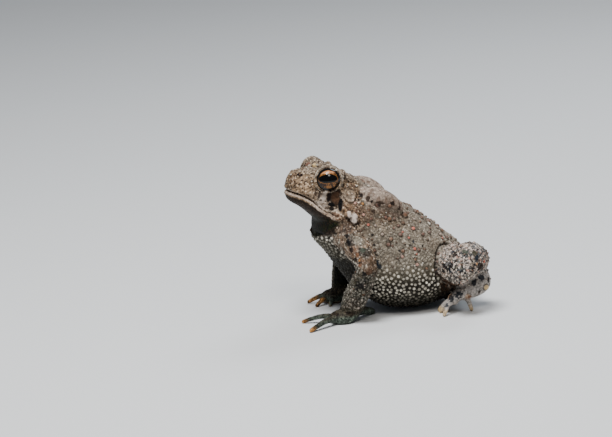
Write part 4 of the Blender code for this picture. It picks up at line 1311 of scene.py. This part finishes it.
def skin_material():
    """Mottled skin: colour laid over the skin by region, fine grain and pores by bump."""
    material, tree, surface = new_material("toad_skin")
    painted = add_node(tree, "ShaderNodeAttribute", attribute_name="Skin")
    wet = add_node(tree, "ShaderNodeAttribute", attribute_name="Wet").outputs["Fac"]
    place = add_node(tree, "ShaderNodeTexCoord").outputs["Object"]
    grain = add_node(tree, "ShaderNodeTexNoise", Scale=2600.0, Detail=3.0, Roughness=0.6)
    pores = add_node(tree, "ShaderNodeTexVoronoi", Scale=3200.0)
    tint = add_node(tree, "ShaderNodeVectorMath", operation="SCALE")
    bump = add_node(tree, "ShaderNodeBump", Strength=0.5, Distance=0.00006, invert=True)
    for source, target in (
        (place, grain.inputs["Vector"]),
        (painted.outputs["Color"], tint.inputs[0]),
        (spread(tree, grain.outputs["Fac"], 0.72, 1.28), tint.inputs["Scale"]),
        (tint.outputs["Vector"], surface.inputs["Base Color"]),
        (spread(tree, wet, 0.62, 0.38), surface.inputs["Roughness"]),
        (spread(tree, wet, 0.05, 0.4), surface.inputs["Specular IOR Level"]),
        (place, pores.inputs["Vector"]),
        (pores.outputs["Distance"], bump.inputs["Height"]),
        (bump.outputs["Normal"], surface.inputs["Normal"]),
    ):
        tree.links.new(source, target)
    return material


def eye_material():
    """Golden iris flecked with black round a level dark pupil, under a wet surface."""
    material, tree, surface = new_material("toad_eye")
    painted = add_node(tree, "ShaderNodeAttribute", attribute_name="Iris")
    tree.links.new(painted.outputs["Color"], surface.inputs["Base Color"])
    surface.inputs["Roughness"].default_value = 0.4
    surface.inputs["Specular IOR Level"].default_value = 0.0
    surface.inputs["Coat Weight"].default_value = 0.55
    surface.inputs["Coat Roughness"].default_value = 0.02
    return material


def floor_material():
    """Plain pale floor."""
    material, _, surface = new_material("floor")
    surface.inputs["Base Color"].default_value = FLOOR_COLOUR
    surface.inputs["Roughness"].default_value = 0.8
    return material


# ---------------- eyes
# Half sizes of the pupil and its place from the middle of the iris, along and up
PUPIL_SIZE = (2.7, 1.3)
PUPIL_PLACE = (0.15, 0.25)
IRIS_GOLD = tone(138, 92, 44)
IRIS_BROWN = tone(48, 26, 12)
IRIS_PEACH_SKY_SHEEN = tone(222, 156, 106)
EYE_BLACK = tone(3, 3, 4)


def iris_colours(ray, along, rise, look):
    """Colour of each point of the eyeball, from its place round the middle of the eye."""
    level, high, depth = (ray @ np.array(axis) for axis in (along, rise, look))
    turn = np.arctan2(high, level)
    around = np.stack([np.cos(turn) * 3, np.sin(turn) * 3, np.hypot(level, high) * 0.5], axis=1)
    strands = noise(around, 0.35, 91)
    flecks = fractal(ray, 0.6, 95)
    pupil = np.hypot((level - PUPIL_PLACE[0]) / PUPIL_SIZE[0], (high - PUPIL_PLACE[1]) / PUPIL_SIZE[1])
    pupil += 0.08 * noise(ray, 0.9, 97)
    return layered(np.tile(np.array(IRIS_BROWN), (len(ray), 1)), [
        (IRIS_GOLD, ramp(0.0, 0.4, strands + flecks + 0.5 * ramp(1.4, 2.2, -high))),
        (EYE_BLACK, ramp(0.1, 0.35, flecks - 0.5 * strands) * 0.55),
        # Paler peach top of the iris, brightened as a painted reflection of the sky
        (IRIS_PEACH_SKY_SHEEN, ramp(1.3, 2.0, high + 0.7 * flecks) * 0.75),
        (IRIS_GOLD, ramp(1.22, 1.08, pupil) * 0.6),
        (EYE_BLACK, ramp(1.06, 0.98, pupil)),
        (EYE_BLACK, ramp(2.5, 2.8, np.hypot(level * 0.95, high * 1.05) + 0.2 * flecks)),
        (EYE_BLACK, ramp(1.2, 0.8, depth)),
    ])


def add_eyeball(name, side, material):
    centre, look = eye_place(side)
    along, rise = eye_axes(look)
    bm = bmesh.new()
    bmesh.ops.create_uvsphere(bm, u_segments=160, v_segments=120, radius=EYE_RADIUS)
    axes = Matrix((along, rise, look)).transposed().to_4x4()
    bmesh.ops.transform(bm, matrix=Matrix.Translation(centre) @ axes, verts=bm.verts)
    ball = new_object("eyeball_" + name, bm)
    ray = read_mesh(ball.data)[0] - np.array(centre)
    store(ball.data, "Iris", iris_colours(ray, along, rise, look))
    ball.data.materials.append(material)
    ball.data.shade_smooth()
    return ball


wet_eye = eye_material()
pieces = {name: add_eyeball(name, side, wet_eye) for name, side in SIDES.items()}
mesh.materials.append(skin_material())
mesh.shade_smooth()

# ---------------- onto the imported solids
low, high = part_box("eye_left")
drawn_centre = eye_place(1)[0] * METRES
shift = (low + high) / 2 - drawn_centre
shift.z = 0
onto = Matrix.Translation(shift) @ Matrix.Scale(METRES, 4)
for piece in (body, *pieces.values()):
    piece.data.transform(onto)
    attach(piece, "root")
skin_nodes = [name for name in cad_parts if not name.startswith("eye")]
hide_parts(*skin_nodes)
for name, ball in pieces.items():
    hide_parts("eye_" + name)

# ---------------- floor, light and camera
FLOOR_REACH = 3
LIT_PLACE = Vector((0, 0, 0.02))
bm = bmesh.new()
bmesh.ops.create_grid(bm, x_segments=1, y_segments=1, size=FLOOR_REACH)
floor = new_object("floor", bm)
floor.data.materials.append(floor_material())
floor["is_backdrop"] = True


def add_light(name, place, size, power, colour):
    light = bpy.data.lights.new(name, "AREA")
    light.shape = "DISK"
    light.size = size
    light.energy = power
    light.color = colour
    holder = bpy.data.objects.new(name, light)
    bpy.context.scene.collection.objects.link(holder)
    holder.location = place
    holder.rotation_euler = (LIT_PLACE - Vector(place)).to_track_quat("-Z", "Y").to_euler()


# Name, place, size, power and colour
add_light("sky", (0.14, -0.12, 0.60), 0.28, 5.6, (0.96, 0.98, 1.0))
add_light("front", (0.44, -0.01, 0.565), 0.22, 1.6, (1.0, 0.97, 0.92))
add_light("rim", (-0.30, 0.28, 0.40), 0.25, 1.2, (0.85, 0.92, 1.0))
world = bpy.data.worlds.new("studio")
world.use_nodes = True
backdrop = world.node_tree.nodes["Background"]
backdrop.inputs["Color"].default_value = (0.80, 0.87, 1.0, 1)
backdrop.inputs["Strength"].default_value = 0.2
bpy.context.scene.world = world

CAMERA_AZIMUTH = math.radians(78)
CAMERA_ELEVATION = math.radians(12.5)
CAMERA_ROLL = math.radians(4)
CAMERA_DISTANCE = 1200.0
PHOTO_WIDTH = 180.0
SENSOR = 36.0
# Where the middle of the picture lies from the toad's own origin, to the right and up, in millimetres
PICTURE_MIDDLE = (-23.235, 25.882)


def add_camera():
    a, e, roll = CAMERA_AZIMUTH, CAMERA_ELEVATION, CAMERA_ROLL
    back = Vector((math.sin(a) * math.cos(e), -math.cos(a) * math.cos(e), math.sin(e)))
    level = Vector((math.cos(a), math.sin(a), 0))
    over = back.cross(level)
    right = level * math.cos(roll) - over * math.sin(roll)
    above = level * math.sin(roll) + over * math.cos(roll)
    target = right * PICTURE_MIDDLE[0] + above * PICTURE_MIDDLE[1]
    camera = bpy.data.cameras.new("camera")
    camera.sensor_width = SENSOR
    camera.lens = SENSOR * CAMERA_DISTANCE / PHOTO_WIDTH
    camera.clip_start = 0.05
    camera.clip_end = 20
    holder = bpy.data.objects.new("camera", camera)
    place = Matrix((right, above, back)).transposed().to_4x4()
    place.translation = (target + back * CAMERA_DISTANCE) * METRES + shift
    holder.matrix_world = place
    bpy.context.scene.collection.objects.link(holder)
    bpy.context.scene.camera = holder


add_camera()

for label, (low, high) in (("cad", cad_box), ("visual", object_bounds())):
    list(low)
    list(high)
